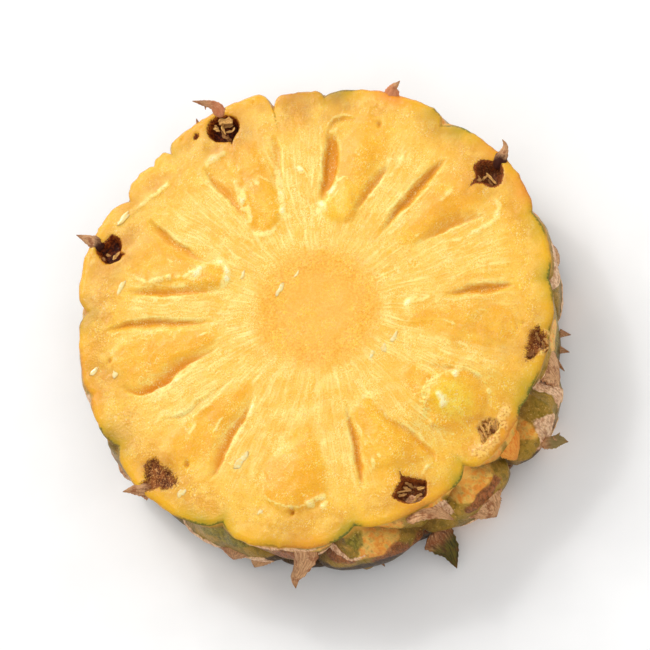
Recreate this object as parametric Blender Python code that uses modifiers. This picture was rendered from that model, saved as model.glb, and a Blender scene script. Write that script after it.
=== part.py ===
"""A thick round slice cut across a pineapple, with its core and rind left on.

It lies on its lower cut face. The origin is on that face, on the axis of the core, and +Z points up through
the upper cut face. The slice is one solid: a barrel whose side swells over each fruitlet, hollowed by the
seed chambers and blossom cups that the cuts open, with the tips of the bracts grown onto its side.
"""

import math
from collections import namedtuple

import bmesh
import bpy
from mathutils import Matrix, Vector

MM = 0.001

# The whole slice.
THICKNESS = 25 * MM
RIND_RADIUS = 58.0 * MM  # of the cut face, in the grooves between fruitlets
RIND_CENTRE = Vector((-2.0, 0.2, 0)) * MM  # the rind isn't quite round the core
BARREL_SWELL = 0.8 * MM  # how much wider the slice is at half its height
FOOT_TUCK = 1.0 * MM  # how much narrower it is at the table

# The rind over one fruitlet.
ROW_PITCH = 16 * MM  # height from one row of fruitlets to the next
SWELL = 2.8 * MM  # how far a fruitlet stands out from the grooves round it

# The knife's dip, where the upper face falls away towards the rim.
DIP_BEARING = 318
DIP_DEPTH = 3.2 * MM
DIP_REACH = 21 * MM
DIP_BALL = 58 * MM

# What the cuts open.
CHAMBER_HALF_WIDTH = 1.5 * MM
CHAMBER_WIDENING = 0.14  # a deeper chamber is wider by this share of its depth
CHAMBER_LEAN = 2.0  # degrees that a chamber turns towards its fruitlet's middle at the core end
CUP_RADIUS = 3.7 * MM
CUP_DEPTH = 5.2 * MM
CUP_INSET = 5 * MM  # from the rim to its middle
EYE_SHOWS = 2 * MM  # the cut opens an eye no further from it than this

# The tip of a bract.
BRACT_THICKNESS = 0.9 * MM
BRACT_ROOT = 1.6 * MM  # how deep it starts in the rind
BRACT_CUPPING = 0.22  # how far its edges turn inwards, as a share of its half width
BRACT_ARCH = 0.16  # how far it bows outwards, as a share of its length
BRACT_POINT = 0.25 * MM  # half its width at the very tip
PRESSED_HALF_WIDTH = 5.5 * MM
PRESSED_DROP = 6 * MM
PRESSED_STAND = 1.4 * MM

# How finely the solid is faceted.
SIDE_COLUMNS = 150
SIDE_ROWS = 8
CHAMBER_FACETS = (12, 8)
UNDERSIDE_FACETS = (10, 6)
CUP_FACETS = (14, 8)
DIP_FACETS = (40, 20)
BRACT_FACETS = (2, 5)
CREASE = math.radians(50)

FLESH_COLOUR = (0.85, 0.55, 0.11, 1)
ROUGHNESS = 0.3

# The fruitlets that the upper cut crosses, anticlockwise round the core.
#   bearing, spread   of its middle, and from there to its two seed chambers, degrees
#   eye               height of its eye above the cut, mm
#   share             how far it stands out, as a share of SWELL
#   right, left       its clockwise and anticlockwise chamber: start and end radius and depth, mm
Fruitlet = namedtuple("Fruitlet", "bearing spread eye share right left")
TOP_ROW = [
    Fruitlet(40, 11.0, 0, 0.8, (29, 44, 3.6), (24, 48, 4.4)),
    Fruitlet(77, 11.0, -4, 0.8, (26, 42, 4.0), (30, 51, 6.0)),
    Fruitlet(118, 10.0, 0, 1.3, (31, 49, 3.8), (30, 51, 3.6)),
    Fruitlet(162, 9.5, 0, 1.1, (34, 51, 3.4), (26, 49, 4.0)),
    Fruitlet(196, 10.0, -4, 0.8, (27, 52, 4.0), (30, 52, 5.2)),
    Fruitlet(228, 12.0, 1, 0.8, (25, 41, 2.2), (27, 46, 5.2)),
    Fruitlet(265, 10.5, -4, 1.0, (40, 50, 1.6), (42, 51, 2.2)),
    Fruitlet(297, 10.0, 0, 0.8, (26, 48, 5.0), (29, 43, 4.2)),
    Fruitlet(323, 9.0, -1, 0.7, (30, 38, 1.4), (30, 49, 1.8)),
    Fruitlet(348, 15.0, 0, 0.8, (34, 42, 1.2), (32, 49, 4.6)),
]
UNDERSIDE_CHAMBER = (28, 46, 3.0)
UNDERSIDE_SPREAD = 9.5

# The fruitlets of the rows above and below lie between those. up is an eye's height above the upper cut, mm.
Neighbour = namedtuple("Neighbour", "bearing up share")
ROW_ABOVE = [
    Neighbour(22, 15, 0.8),
    Neighbour(59, 19, 0.8),
    Neighbour(98, 13, 1.0),
    Neighbour(140, 12, 1.2),
    Neighbour(178, 19, 0.9),
    Neighbour(214, 19, 0.9),
    Neighbour(249, 19, 0.9),
    Neighbour(281, 18, 0.9),
    Neighbour(311, 19, 0.9),
    Neighbour(334, 19, 0.9),
]
ROW_BELOW = [
    Neighbour(18, -15, 0.8),
    Neighbour(59, -16, 0.9),
    Neighbour(98, -17, 1.1),
    Neighbour(140, -17, 1.2),
    Neighbour(178, -16, 0.8),
    Neighbour(214, -16, 0.8),
    Neighbour(249, -15, 0.9),
    Neighbour(281, -14, 1.7),
    Neighbour(310, -14, 1.9),
    Neighbour(333, -14, 2.2),
]

# The bracts that stand clear of the rind: bearing and height of the root and half the width there, then
# bearing, radius and height of the tip, degrees and mm.
Bract = namedtuple("Bract", "bearing height half_width tip_bearing tip_radius tip_height")
BRACTS = [
    # beside the eyes in the upper cut
    Bract(38.5, 23.0, 3.6, 42.5, 63.0, 26.0),
    Bract(74.0, 22.5, 3.4, 73.5, 64.2, 24.0),
    Bract(117.0, 23.0, 3.2, 120.5, 68.0, 24.5),
    Bract(161.0, 22.5, 3.4, 160.5, 68.2, 24.5),
    Bract(189.0, 21.0, 4.0, 190.0, 63.5, 16.0),
    Bract(227.5, 22.5, 5.0, 225.0, 66.8, 22.5),
    Bract(265.5, 20.5, 7.0, 265.5, 68.6, 13.5),
    Bract(297.0, 20.5, 7.5, 301.5, 65.5, 16.5),
    Bract(325.0, 18.5, 4.0, 326.0, 62.8, 14.0),
    Bract(349.0, 20.5, 4.5, 352.0, 63.4, 15.5),
    # where the rows below show
    Bract(310.0, 14.5, 6.0, 312.5, 65.2, 11.0),
    Bract(333.0, 13.0, 3.0, 331.5, 69.0, 11.5),
    Bract(297.0, 6.5, 6.0, 298.0, 69.4, 2.6),
    Bract(255.0, 5.0, 3.5, 253.0, 62.0, 2.0),
    Bract(281.0, 5.0, 3.0, 279.5, 61.5, 2.6),
]
PRESSED = ROW_BELOW[:7]  # the fruitlets of that row whose bracts lie almost flat instead


def polar(bearing, radius, height):
    """The point at that bearing, in degrees, that far from the core's axis."""
    angle = math.radians(bearing)
    return Vector((radius * math.cos(angle), radius * math.sin(angle), height))


def eyes():
    """(bearing, height, share of SWELL) of every fruitlet that shows on the side or shapes a border there."""
    found = [(f.bearing, THICKNESS + f.eye * MM, f.share) for f in TOP_ROW]
    for neighbour in ROW_ABOVE + ROW_BELOW:
        height = THICKNESS + neighbour.up * MM
        found.append((neighbour.bearing, height, neighbour.share))
    for fruitlet in TOP_ROW:
        found.append((fruitlet.bearing, THICKNESS - 2 * ROW_PITCH, fruitlet.share))
    return found


EYES = eyes()


def rind_radius(bearing, height):
    """Distance from the core's axis to the outside of the rind."""
    distances = []
    for eye_bearing, eye_height, share in EYES:
        turn = (bearing - eye_bearing + 180) % 360 - 180
        across = math.radians(turn) * RIND_RADIUS
        distances.append((math.hypot(across, height - eye_height), share))
    (nearest, share), (second, _) = sorted(distances)[:2]
    # 0 on the border between two fruitlets, 1 on an eye
    inside = 1 - nearest / second
    swell = SWELL * share * (1 - (1 - inside) ** 3)
    up = height / THICKNESS
    barrel = BARREL_SWELL * math.sin(math.pi * up) - FOOT_TUCK * (1 - up) ** 4
    off_centre = RIND_CENTRE.dot(polar(bearing, 1, 0))
    return RIND_RADIUS + off_centre + swell + barrel


def collection(name):
    made = bpy.data.collections.new(name)
    bpy.context.scene.collection.children.link(made)
    return made


def new_object(name, mesh, home):
    """A smooth object in the collection home, holding the bmesh mesh, with creases left sharp."""
    data = bpy.data.meshes.new(name)
    mesh.to_mesh(data)
    mesh.free()
    data.shade_smooth()
    data.set_sharp_from_angle(angle=CREASE)
    made = bpy.data.objects.new(name, data)
    home.objects.link(made)
    return made


def helper(name, mesh, home):
    """A shape that only cuts the slice or is joined to it, and isn't rendered."""
    made = new_object(name, mesh, home)
    made.hide_render = True
    made.display_type = "WIRE"
    return made


def barrel(home):
    """The slice before anything is cut from it: a drum with its side pushed out over each fruitlet."""
    mesh = bmesh.new()
    bmesh.ops.create_cone(
        mesh,
        cap_ends=True,
        segments=SIDE_COLUMNS,
        radius1=RIND_RADIUS,
        radius2=RIND_RADIUS,
        depth=THICKNESS,
        matrix=Matrix.Translation((0, 0, THICKNESS / 2)),
    )
    uprights = [
        edge
        for edge in mesh.edges
        if abs(edge.verts[0].co.z - edge.verts[1].co.z) > THICKNESS / 2
    ]
    bmesh.ops.subdivide_edges(mesh, edges=uprights, cuts=SIDE_ROWS - 1)
    for vertex in mesh.verts:
        bearing = math.degrees(math.atan2(vertex.co.y, vertex.co.x))
        radius = rind_radius(bearing, vertex.co.z)
        vertex.co = polar(bearing, radius, vertex.co.z)
    return new_object("pineapple_slice", mesh, home)


def ellipsoid(facets, half_sizes, place):
    """A ball with that many segments and rings, stretched to half_sizes and moved by the matrix place."""
    mesh = bmesh.new()
    stretch = Matrix.Diagonal((*half_sizes, 1))
    bmesh.ops.create_uvsphere(
        mesh,
        u_segments=facets[0],
        v_segments=facets[1],
        radius=1,
        matrix=place @ stretch,
    )
    return mesh


def chamber(name, bearing, turn, sizes, facets, face_height, home):
    """A seed chamber as the cut opens it: a deep, narrow boat that points at the core.

    turn is the side of its fruitlet that it is on, 1 for anticlockwise and -1 for clockwise.
    """
    start, end, depth = (size * MM for size in sizes)
    half_width = CHAMBER_HALF_WIDTH + CHAMBER_WIDENING * depth
    middle = polar(bearing, (start + end) / 2, face_height)
    heading = math.radians(bearing + turn * CHAMBER_LEAN)
    place = Matrix.Translation(middle) @ Matrix.Rotation(heading, 4, "Z")
    half_sizes = ((end - start) / 2, half_width, depth)
    return helper(name, ellipsoid(facets, half_sizes, place), home)


def blossom_cup(fruitlet, home):
    """The dried flower's hollow behind an eye, open where the cut crosses it."""
    rim = rind_radius(fruitlet.bearing, THICKNESS)
    middle = polar(fruitlet.bearing, rim - CUP_INSET, THICKNESS)
    turn = Matrix.Rotation(math.radians(fruitlet.bearing), 4, "Z")
    half_sizes = (CUP_RADIUS, CUP_RADIUS, CUP_DEPTH)
    shape = ellipsoid(CUP_FACETS, half_sizes, Matrix.Translation(middle) @ turn)
    return helper(f"cup_{fruitlet.bearing}", shape, home)


def knife_dip(home):
    """A ball that takes a shallow hollow out of the upper face, deepest at the rim."""
    at_rim = polar(DIP_BEARING, RIND_RADIUS, THICKNESS)
    inwards = polar(DIP_BEARING, RIND_RADIUS - DIP_REACH, THICKNESS)
    # The ball passes through the face at the dip's inner end and DIP_DEPTH under it at the rim.
    chord = inwards - (at_rim - Vector((0, 0, DIP_DEPTH)))
    up = chord.cross(Vector((0, 0, 1))).cross(chord).normalized()
    above = math.sqrt(DIP_BALL**2 - (chord.length / 2) ** 2)
    centre = inwards - chord / 2 + up * above
    ball = ellipsoid(DIP_FACETS, (DIP_BALL,) * 3, Matrix.Translation(centre))
    return helper("knife_dip", ball, home)


def bract_tip(number, bract, home):
    """A thin pointed scale that leaves the rind at its root and bends out to its tip."""
    mesh = bmesh.new()
    bmesh.ops.create_grid(
        mesh, x_segments=BRACT_FACETS[0], y_segments=BRACT_FACETS[1], size=1
    )
    root_radius = rind_radius(bract.bearing, bract.height * MM) - BRACT_ROOT
    root = polar(bract.bearing, root_radius, bract.height * MM)
    tip = polar(bract.tip_bearing, bract.tip_radius * MM, bract.tip_height * MM)
    along = tip - root
    sideways = polar(bract.bearing + 90, 1, 0)
    back = along.cross(sideways).normalized()
    for vertex in mesh.verts:
        across = vertex.co.x
        share = (vertex.co.y + 1) / 2
        half_width = bract.half_width * MM * (1 - share**1.3) + BRACT_POINT
        arch = BRACT_ARCH * along.length * math.sin(math.pi * share)
        cupping = BRACT_CUPPING * half_width * across**2
        on_line = root + along * share + sideways * across * half_width
        vertex.co = on_line + back * (arch - cupping)
    bmesh.ops.recalc_face_normals(mesh, faces=mesh.faces)
    made = helper(f"bract_{number:02d}", mesh, home)
    solidify = made.modifiers.new("thickness", "SOLIDIFY")
    solidify.thickness = BRACT_THICKNESS
    solidify.offset = 0
    return made


def pressed_bract(neighbour):
    """The bract of a fruitlet of the row below, lying almost flat across its eye."""
    eye_height = THICKNESS + neighbour.up * MM
    root_height = eye_height + PRESSED_DROP / 2
    tip_height = eye_height - PRESSED_DROP / 2
    tip_radius = rind_radius(neighbour.bearing, tip_height) + PRESSED_STAND
    return Bract(
        neighbour.bearing,
        root_height / MM,
        PRESSED_HALF_WIDTH / MM,
        neighbour.bearing,
        tip_radius / MM,
        tip_height / MM,
    )


def combine(target, name, operation, tools):
    """Adds a Boolean that cuts the collection tools from target, or joins it on."""
    boolean = target.modifiers.new(name, "BOOLEAN")
    boolean.operation = operation
    boolean.operand_type = "COLLECTION"
    boolean.collection = tools
    boolean.solver = "EXACT"


def wet_flesh():
    material = bpy.data.materials.new("flesh_and_rind")
    material.use_nodes = True
    shader = material.node_tree.nodes["Principled BSDF"]
    shader.inputs["Base Color"].default_value = FLESH_COLOUR
    shader.inputs["Roughness"].default_value = ROUGHNESS
    shader.inputs["Metallic"].default_value = 0
    return material


def build():
    for existing in list(bpy.data.objects):
        bpy.data.objects.remove(existing)
    home = collection("pineapple_slice")
    cutters = collection("cutters")
    scales = collection("scales")

    whole = barrel(home)
    for fruitlet in TOP_ROW:
        for side, turn, sizes in (("right", -1, fruitlet.right), ("left", 1, fruitlet.left)):
            name = f"chamber_{fruitlet.bearing}_{side}"
            bearing = fruitlet.bearing + turn * fruitlet.spread
            chamber(name, bearing, turn, sizes, CHAMBER_FACETS, THICKNESS, cutters)
        if abs(fruitlet.eye) * MM <= EYE_SHOWS:
            blossom_cup(fruitlet, cutters)
    for fruitlet in ROW_BELOW:
        for side, turn in (("right", -1), ("left", 1)):
            name = f"under_chamber_{fruitlet.bearing}_{side}"
            bearing = fruitlet.bearing + turn * UNDERSIDE_SPREAD
            chamber(name, bearing, turn, UNDERSIDE_CHAMBER, UNDERSIDE_FACETS, 0, cutters)
    knife_dip(cutters)
    pressed = [pressed_bract(neighbour) for neighbour in PRESSED]
    for number, bract in enumerate(BRACTS + pressed):
        bract_tip(number, bract, scales)

    combine(whole, "join bracts", "UNION", scales)
    combine(whole, "cut hollows", "DIFFERENCE", cutters)
    whole.data.materials.append(wet_flesh())


build()
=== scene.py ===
"""A thick slice of fresh pineapple with its core and rind on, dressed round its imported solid.

Shapes are worked out in millimetres in the solid's own frame: the core's axis is the Z axis, the slice stands
on Z = 0 and the upper cut is at Z = THICKNESS. Bearings are degrees anticlockwise from +X, seen from above.
"""
import math
from collections import namedtuple

import bpy
import numpy as np
from mathutils import Matrix, Vector


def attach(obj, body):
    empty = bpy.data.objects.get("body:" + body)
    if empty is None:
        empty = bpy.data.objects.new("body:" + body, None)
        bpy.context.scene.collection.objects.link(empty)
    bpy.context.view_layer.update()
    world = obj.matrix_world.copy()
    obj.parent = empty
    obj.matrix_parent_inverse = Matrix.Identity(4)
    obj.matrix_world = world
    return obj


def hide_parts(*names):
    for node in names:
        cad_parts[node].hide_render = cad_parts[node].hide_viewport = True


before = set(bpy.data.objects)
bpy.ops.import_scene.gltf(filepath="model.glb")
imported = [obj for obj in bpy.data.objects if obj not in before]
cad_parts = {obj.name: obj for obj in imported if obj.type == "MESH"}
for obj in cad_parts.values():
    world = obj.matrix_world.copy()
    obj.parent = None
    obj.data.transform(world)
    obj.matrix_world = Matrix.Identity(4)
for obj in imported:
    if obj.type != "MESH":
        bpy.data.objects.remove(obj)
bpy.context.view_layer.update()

MM = 0.001

# The solid's own sizes, in mm.
THICKNESS = 25.0
RIND_RADIUS = 58.0
RIND_CENTRE = (-2.0, 0.2)
BARREL_SWELL = 0.8
FOOT_TUCK = 1.0
ROW_PITCH = 16.0
SWELL = 2.8
DIP_BEARING = 318
DIP_DEPTH = 3.2
DIP_REACH = 21.0
DIP_BALL = 58.0
PRESSED_HALF_WIDTH = 5.5
PRESSED_DROP = 6.0
PRESSED_STAND = 1.4
BRACT_ROOT = 1.6
BRACT_CUPPING = 0.22
BRACT_ARCH = 0.16
BRACT_STATIONS = 26  # places along a bract
BRACT_ACROSS = 15  # and across it
HUSK_ACROSS = 7

LIT_FROM = 133.0  # bearing of the strongest light

# Where the cut's zones end, as distances from the core's axis.
HEART = (7.0, 11.5)
CORE = (13.0, 19.0)
FIBRES_START = (12.5, 18.0)
FIBRES_END = (42.0, 53.0)
OUTER_RING = (49.0, 55.0)

# How finely the body is meshed.
SECTORS = 8  # a disc has this many more points in each ring than in the one inside it
TOP_RINGS = 112
UNDER_RINGS = 56
SIDE_ROWS = 38
EDGE_DROP = 0.6  # how far the cut's edge is rounded down
EDGE_WIDTH = 1.3
MEAN_RIM = 60.0
RIM_PULL = 7  # how close to the rim the rings begin to follow it
FOOT_HEIGHT = 0.5

# A fruitlet's eye: bearing, height above the cut, share of SWELL.
TOP_ROW = [
    (40, 0, 0.8), (77, -4, 0.8), (118, 0, 1.3), (162, 0, 1.1), (196, -4, 0.8), (228, 1, 0.8), (265, -4, 1.0),
    (297, 0, 0.8), (323, -1, 0.7), (348, 0, 0.8),
]
ROW_ABOVE = [
    (22, 15, 0.8), (59, 19, 0.8), (98, 13, 1.0), (140, 12, 1.2), (178, 19, 0.9), (214, 19, 0.9),
    (249, 19, 0.9), (281, 18, 0.9), (311, 19, 0.9), (334, 19, 0.9),
]
ROW_BELOW = [
    (18, -15, 0.8), (59, -16, 0.9), (98, -17, 1.1), (140, -17, 1.2), (178, -16, 0.8), (214, -16, 0.8),
    (249, -15, 0.9), (281, -14, 1.7), (310, -14, 1.9), (333, -14, 2.2),
]

# A plain bract: bearing, height and half width of its root, bearing, radius and height of its tip, how green
# and how amber it is.
BRACTS = [
    (189.0, 21.0, 4.0, 190.0, 62.6, 15.0, 0.0, 0.0),
    (325.0, 18.5, 4.4, 322.0, 60.6, 12.0, 0.0, 1.0),
    (347.0, 20.5, 4.6, 341.5, 60.4, 9.0, 0.0, 0.0),
    (310.0, 12.5, 6.0, 311.0, 64.6, 5.5, 0.0, 0.0),
    (255.0, 5.0, 3.5, 253.0, 62.0, 2.0, 0.0, 0.0),
    (281.0, 5.0, 3.0, 279.5, 61.5, 2.6, 0.6, 0.0),
]

# A bract with a shape of its own: bearing, radius, height and half width from its root to its tip, how its
# edges stand up, its tone from dark to pale, how green, and how pink its root is, or dark if less than 0.
Blade = namedtuple("Blade", "stations cupping tone green pink")
BLADES = [
    Blade([(117.2, 60.2, 25.1, 1.2), (116.9, 61.8, 25.5, 1.4), (117.2, 63.6, 25.9, 1.2),
           (118.2, 65.0, 26.0, 0.9),
           (119.6, 66.5, 25.8, 0.6), (121.1, 68.4, 25.3, 0.08)], 0.4, 0.45, 0.0, 0.5),
    Blade([(118.6, 66.1, 25.8, 0.6), (119.6, 64.2, 25.4, 0.06)], 0.2, 0.2, 0.0, 0.3),
    Blade([(123.2, 60.9, 23.5, 1.1), (122.4, 63.6, 24.9, 0.06)], 0.3, 0.3, 0.0, 0.8),
    Blade([(39.4, 56.3, 23.9, 1.7), (40.2, 58.4, 25.4, 1.7), (40.6, 60.0, 25.9, 1.15),
           (41.3, 61.4, 26.2, 0.65),
           (42.1, 62.0, 26.4, 0.38), (43.1, 62.2, 26.6, 0.05)], 0.4, 0.75, 0.0, -0.8),
    Blade([(75.0, 57.6, 23.5, 2.4), (74.1, 60.2, 25.0, 1.8), (73.8, 61.6, 25.7, 1.0), (73.2, 62.3, 26.1, 0.6),
           (72.6, 63.3, 26.4, 0.06)], 0.4, 0.7, 0.0, 0.55),
    Blade([(160.3, 59.9, 23.8, 2.8), (160.5, 61.4, 25.0, 2.4), (160.6, 63.0, 25.5, 1.5),
           (160.4, 65.4, 25.3, 0.8),
           (160.3, 67.7, 25.0, 0.06)], 0.5, 0.6, 0.0, -0.9),
    Blade([(228.0, 60.3, 23.6, 2.8), (227.3, 61.6, 24.9, 2.4), (226.3, 63.0, 24.8, 1.5),
           (225.1, 64.4, 24.2, 0.8),
           (224.0, 66.0, 23.4, 0.06)], 0.5, 0.55, 0.0, 0.0),
    Blade([(267.0, 59.4, 23.4, 4.0), (267.6, 61.4, 21.6, 3.6), (267.3, 63.0, 19.0, 3.1),
           (266.3, 64.8, 16.2, 2.0),
           (265.4, 66.5, 14.2, 1.1), (265.6, 68.6, 13.0, 0.06)], 0.55, 0.75, 0.0, 0.0),
    Blade([(293.4, 57.6, 22.0, 3.4), (296.2, 58.7, 23.3, 3.0), (298.6, 59.8, 22.3, 2.2),
           (300.6, 61.2, 20.4, 1.3),
           (302.6, 63.4, 17.0, 0.06)], -0.2, 0.8, 0.0, 0.0),
    Blade([(297.4, 60.0, 8.0, 4.4), (298.0, 62.4, 5.6, 3.5), (298.4, 64.6, 3.8, 2.3), (298.2, 66.8, 2.8, 1.1),
           (298.0, 69.0, 2.2, 0.06)], 0.25, 0.1, 1.0, 0.0),
    Blade([(328.8, 62.8, 11.6, 1.3), (330.2, 65.3, 12.0, 1.5), (331.2, 67.0, 12.4, 1.2),
           (331.7, 69.2, 12.6, 0.06)],
          0.3, 0.8, 0.8, 0.0),
    Blade([(330.8, 65.8, 12.2, 0.9), (332.6, 66.4, 13.2, 0.06)], 0.2, 0.8, 0.8, 0.0),
    Blade([(313.0, 61.4, 9.0, 1.0), (313.9, 63.6, 8.0, 0.06)], 0.2, 0.4, 1.0, 0.0),
    Blade([(358.7, 57.2, 5.4, 1.2), (358.6, 60.0, 4.0, 0.06)], 0.3, 0.4, 0.0, 0.0),
    Blade([(354.7, 57.2, 4.4, 1.1), (354.4, 59.9, 3.4, 0.06)], 0.3, 0.4, 0.0, 0.0),
    Blade([(351.5, 56.6, 6.0, 0.9), (349.2, 59.6, 4.2, 0.06)], 0.3, 0.5, 0.0, 0.0),
    Blade([(282.2, 58.6, 3.2, 1.1), (283.5, 61.6, 2.0, 0.06)], 0.3, 0.3, 0.0, 0.0),
]

# The rim of the upper cut, one lobe after another: bearing and radius of the notch that a lobe starts at, the
# radius of its crest, where along it the crest is, and how square its shoulders are.
Lobe = namedtuple("Lobe", "bearing notch crest skew square")
LOBES = [
    Lobe(23.7, 57.7, 59.4, 0.45, 6), Lobe(58.5, 56.4, 60.1, 0.48, 7), Lobe(90.9, 57.9, 60.2, 0.50, 9),
    Lobe(104.2, 56.0, 62.5, 0.45, 14), Lobe(132.3, 59.4, 61.9, 0.50, 4), Lobe(137.3, 61.1, 62.1, 0.25, 4),
    Lobe(147.9, 59.3, 63.0, 0.45, 6),
    Lobe(178.5, 59.3, 61.5, 0.45, 6), Lobe(200.0, 60.1, 61.5, 0.50, 3), Lobe(215.0, 60.1, 62.4, 0.42, 5),
    Lobe(248.6, 59.1, 62.0, 0.35, 5), Lobe(281.1, 57.8, 59.2, 0.38, 5), Lobe(312.0, 55.3, 58.4, 0.55, 6),
    Lobe(331.5, 57.4, 58.6, 0.45, 5), Lobe(365.5, 57.3, 58.9, 0.50, 4),
]

# A seed chamber as the cut opens it. wall is +1 where its steep side is the anticlockwise one. points follow
# that side from the rind inwards as (bearing, radius). Then its depth, the width of its floor, the width of
# the slope up to the fruitlet, and how much of a pale lip that slope has, partly cream flesh and partly
# painted highlight.
Slit = namedtuple("Slit", "wall points depth floor slope lip")
SLITS = [
    Slit(1, [(128.2, 51), (129.6, 45.9), (129.2, 41.0), (128.7, 36.0), (129.0, 29.5)], 2.4, 0.2, 4.6, 0.15),
    Slit(-1, [(104.9, 49.2), (105, 45.1), (106.4, 39.6), (109, 31.4)], 1.8, 0.4, 3.4, 0.1),
    Slit(1, [(89.3, 47.6), (90.1, 40.8), (90.7, 35.7), (91.0, 31.4), (91.0, 28.5)], 3.8, 2.4, 1.4, 0.1),
    Slit(1, [(79.6, 51.2), (82.7, 52.1), (85.8, 51.9), (88.2, 50.9), (89.5, 48.2), (89.9, 45.2)], 1.2, 0.4,
         1.6, 0.2),
    Slit(-1, [(65.8, 41.0), (66.9, 36.7), (68.5, 33.0), (70.6, 26.6)], 2.4, 0.7, 1.8, 0.2),
    Slit(1, [(51.6, 49.6), (53.0, 46.0), (54.2, 40.6), (54.6, 35.4), (54.4, 29.4), (52.2, 23.7)], 3.0, 1.2,
         2.0, 0.9),
    Slit(-1, [(28.8, 47.0), (30.4, 41.6), (31.4, 36.3), (32.2, 28.0)], 2.0, 0.3, 3.0, 0.3),
    Slit(1, [(5.0, 49.0), (6.1, 44.7), (6.4, 40.7), (5.8, 36.1), (4.0, 31.6)], 2.8, 1.0, 2.0, 0.6),
    Slit(1, [(340.7, 41.5), (342.3, 38.2), (344.2, 34)], 0.6, 0.2, 3.0, 0.0),
    Slit(1, [(331.5, 49), (334.6, 45), (334, 39.5), (331.7, 34.4), (330.1, 28.6)], 1.2, 0.2, 3.6, 0.1),
    Slit(1, [(306.8, 51), (307.9, 47.6), (306.7, 41.7), (302.8, 34.8), (302.1, 29.6)], 1.8, 0.2, 2.4, 0.1),
    Slit(-1, [(284.9, 49), (284.9, 42.3), (285.7, 36.6), (285.8, 31.7), (287.5, 26)], 3.0, 0.5, 1.8, 0.4),
    Slit(1, [(240.3, 51), (240.9, 47.3), (240, 42.9), (239.1, 38.3), (238.8, 33.5), (236.9, 26.5)],
         2.8, 0.4, 3.4, 0.1),
    Slit(-1, [(216.1, 47.6), (219.1, 41.5), (218.8, 36.9), (219.5, 26)], 0.9, 0.2, 2.4, 0.8),
    Slit(1, [(200.8, 52.7), (205, 49.9), (206.5, 44.9), (205.8, 40.9), (204.1, 38.7), (202.4, 33.8),
             (202.8, 31.1), (200.5, 26)], 3.2, 0.4, 3.8, 0.1),
    Slit(-1, [(183.8, 54), (181.8, 49.4), (181.5, 45.2), (181.9, 37.7), (185.5, 25.5)], 2.6, 0.6, 2.4, 0.6),
    Slit(1, [(173, 49.6), (172.7, 40.2), (170.6, 31.8), (167.5, 25.5)], 2.4, 0.6, 2.0, 0.8),
    Slit(-1, [(149.5, 51.5), (151.4, 43.9), (152.9, 37.6), (155.2, 31.5)], 2.5, 0.3, 3.4, 0.1),
    Slit(-1, [(253.5, 42), (256.6, 50.4), (265.7, 52.4), (274.0, 49.8), (275.4, 43)], 0.5, 0.0, 3.0, 0.0),
]
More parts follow.
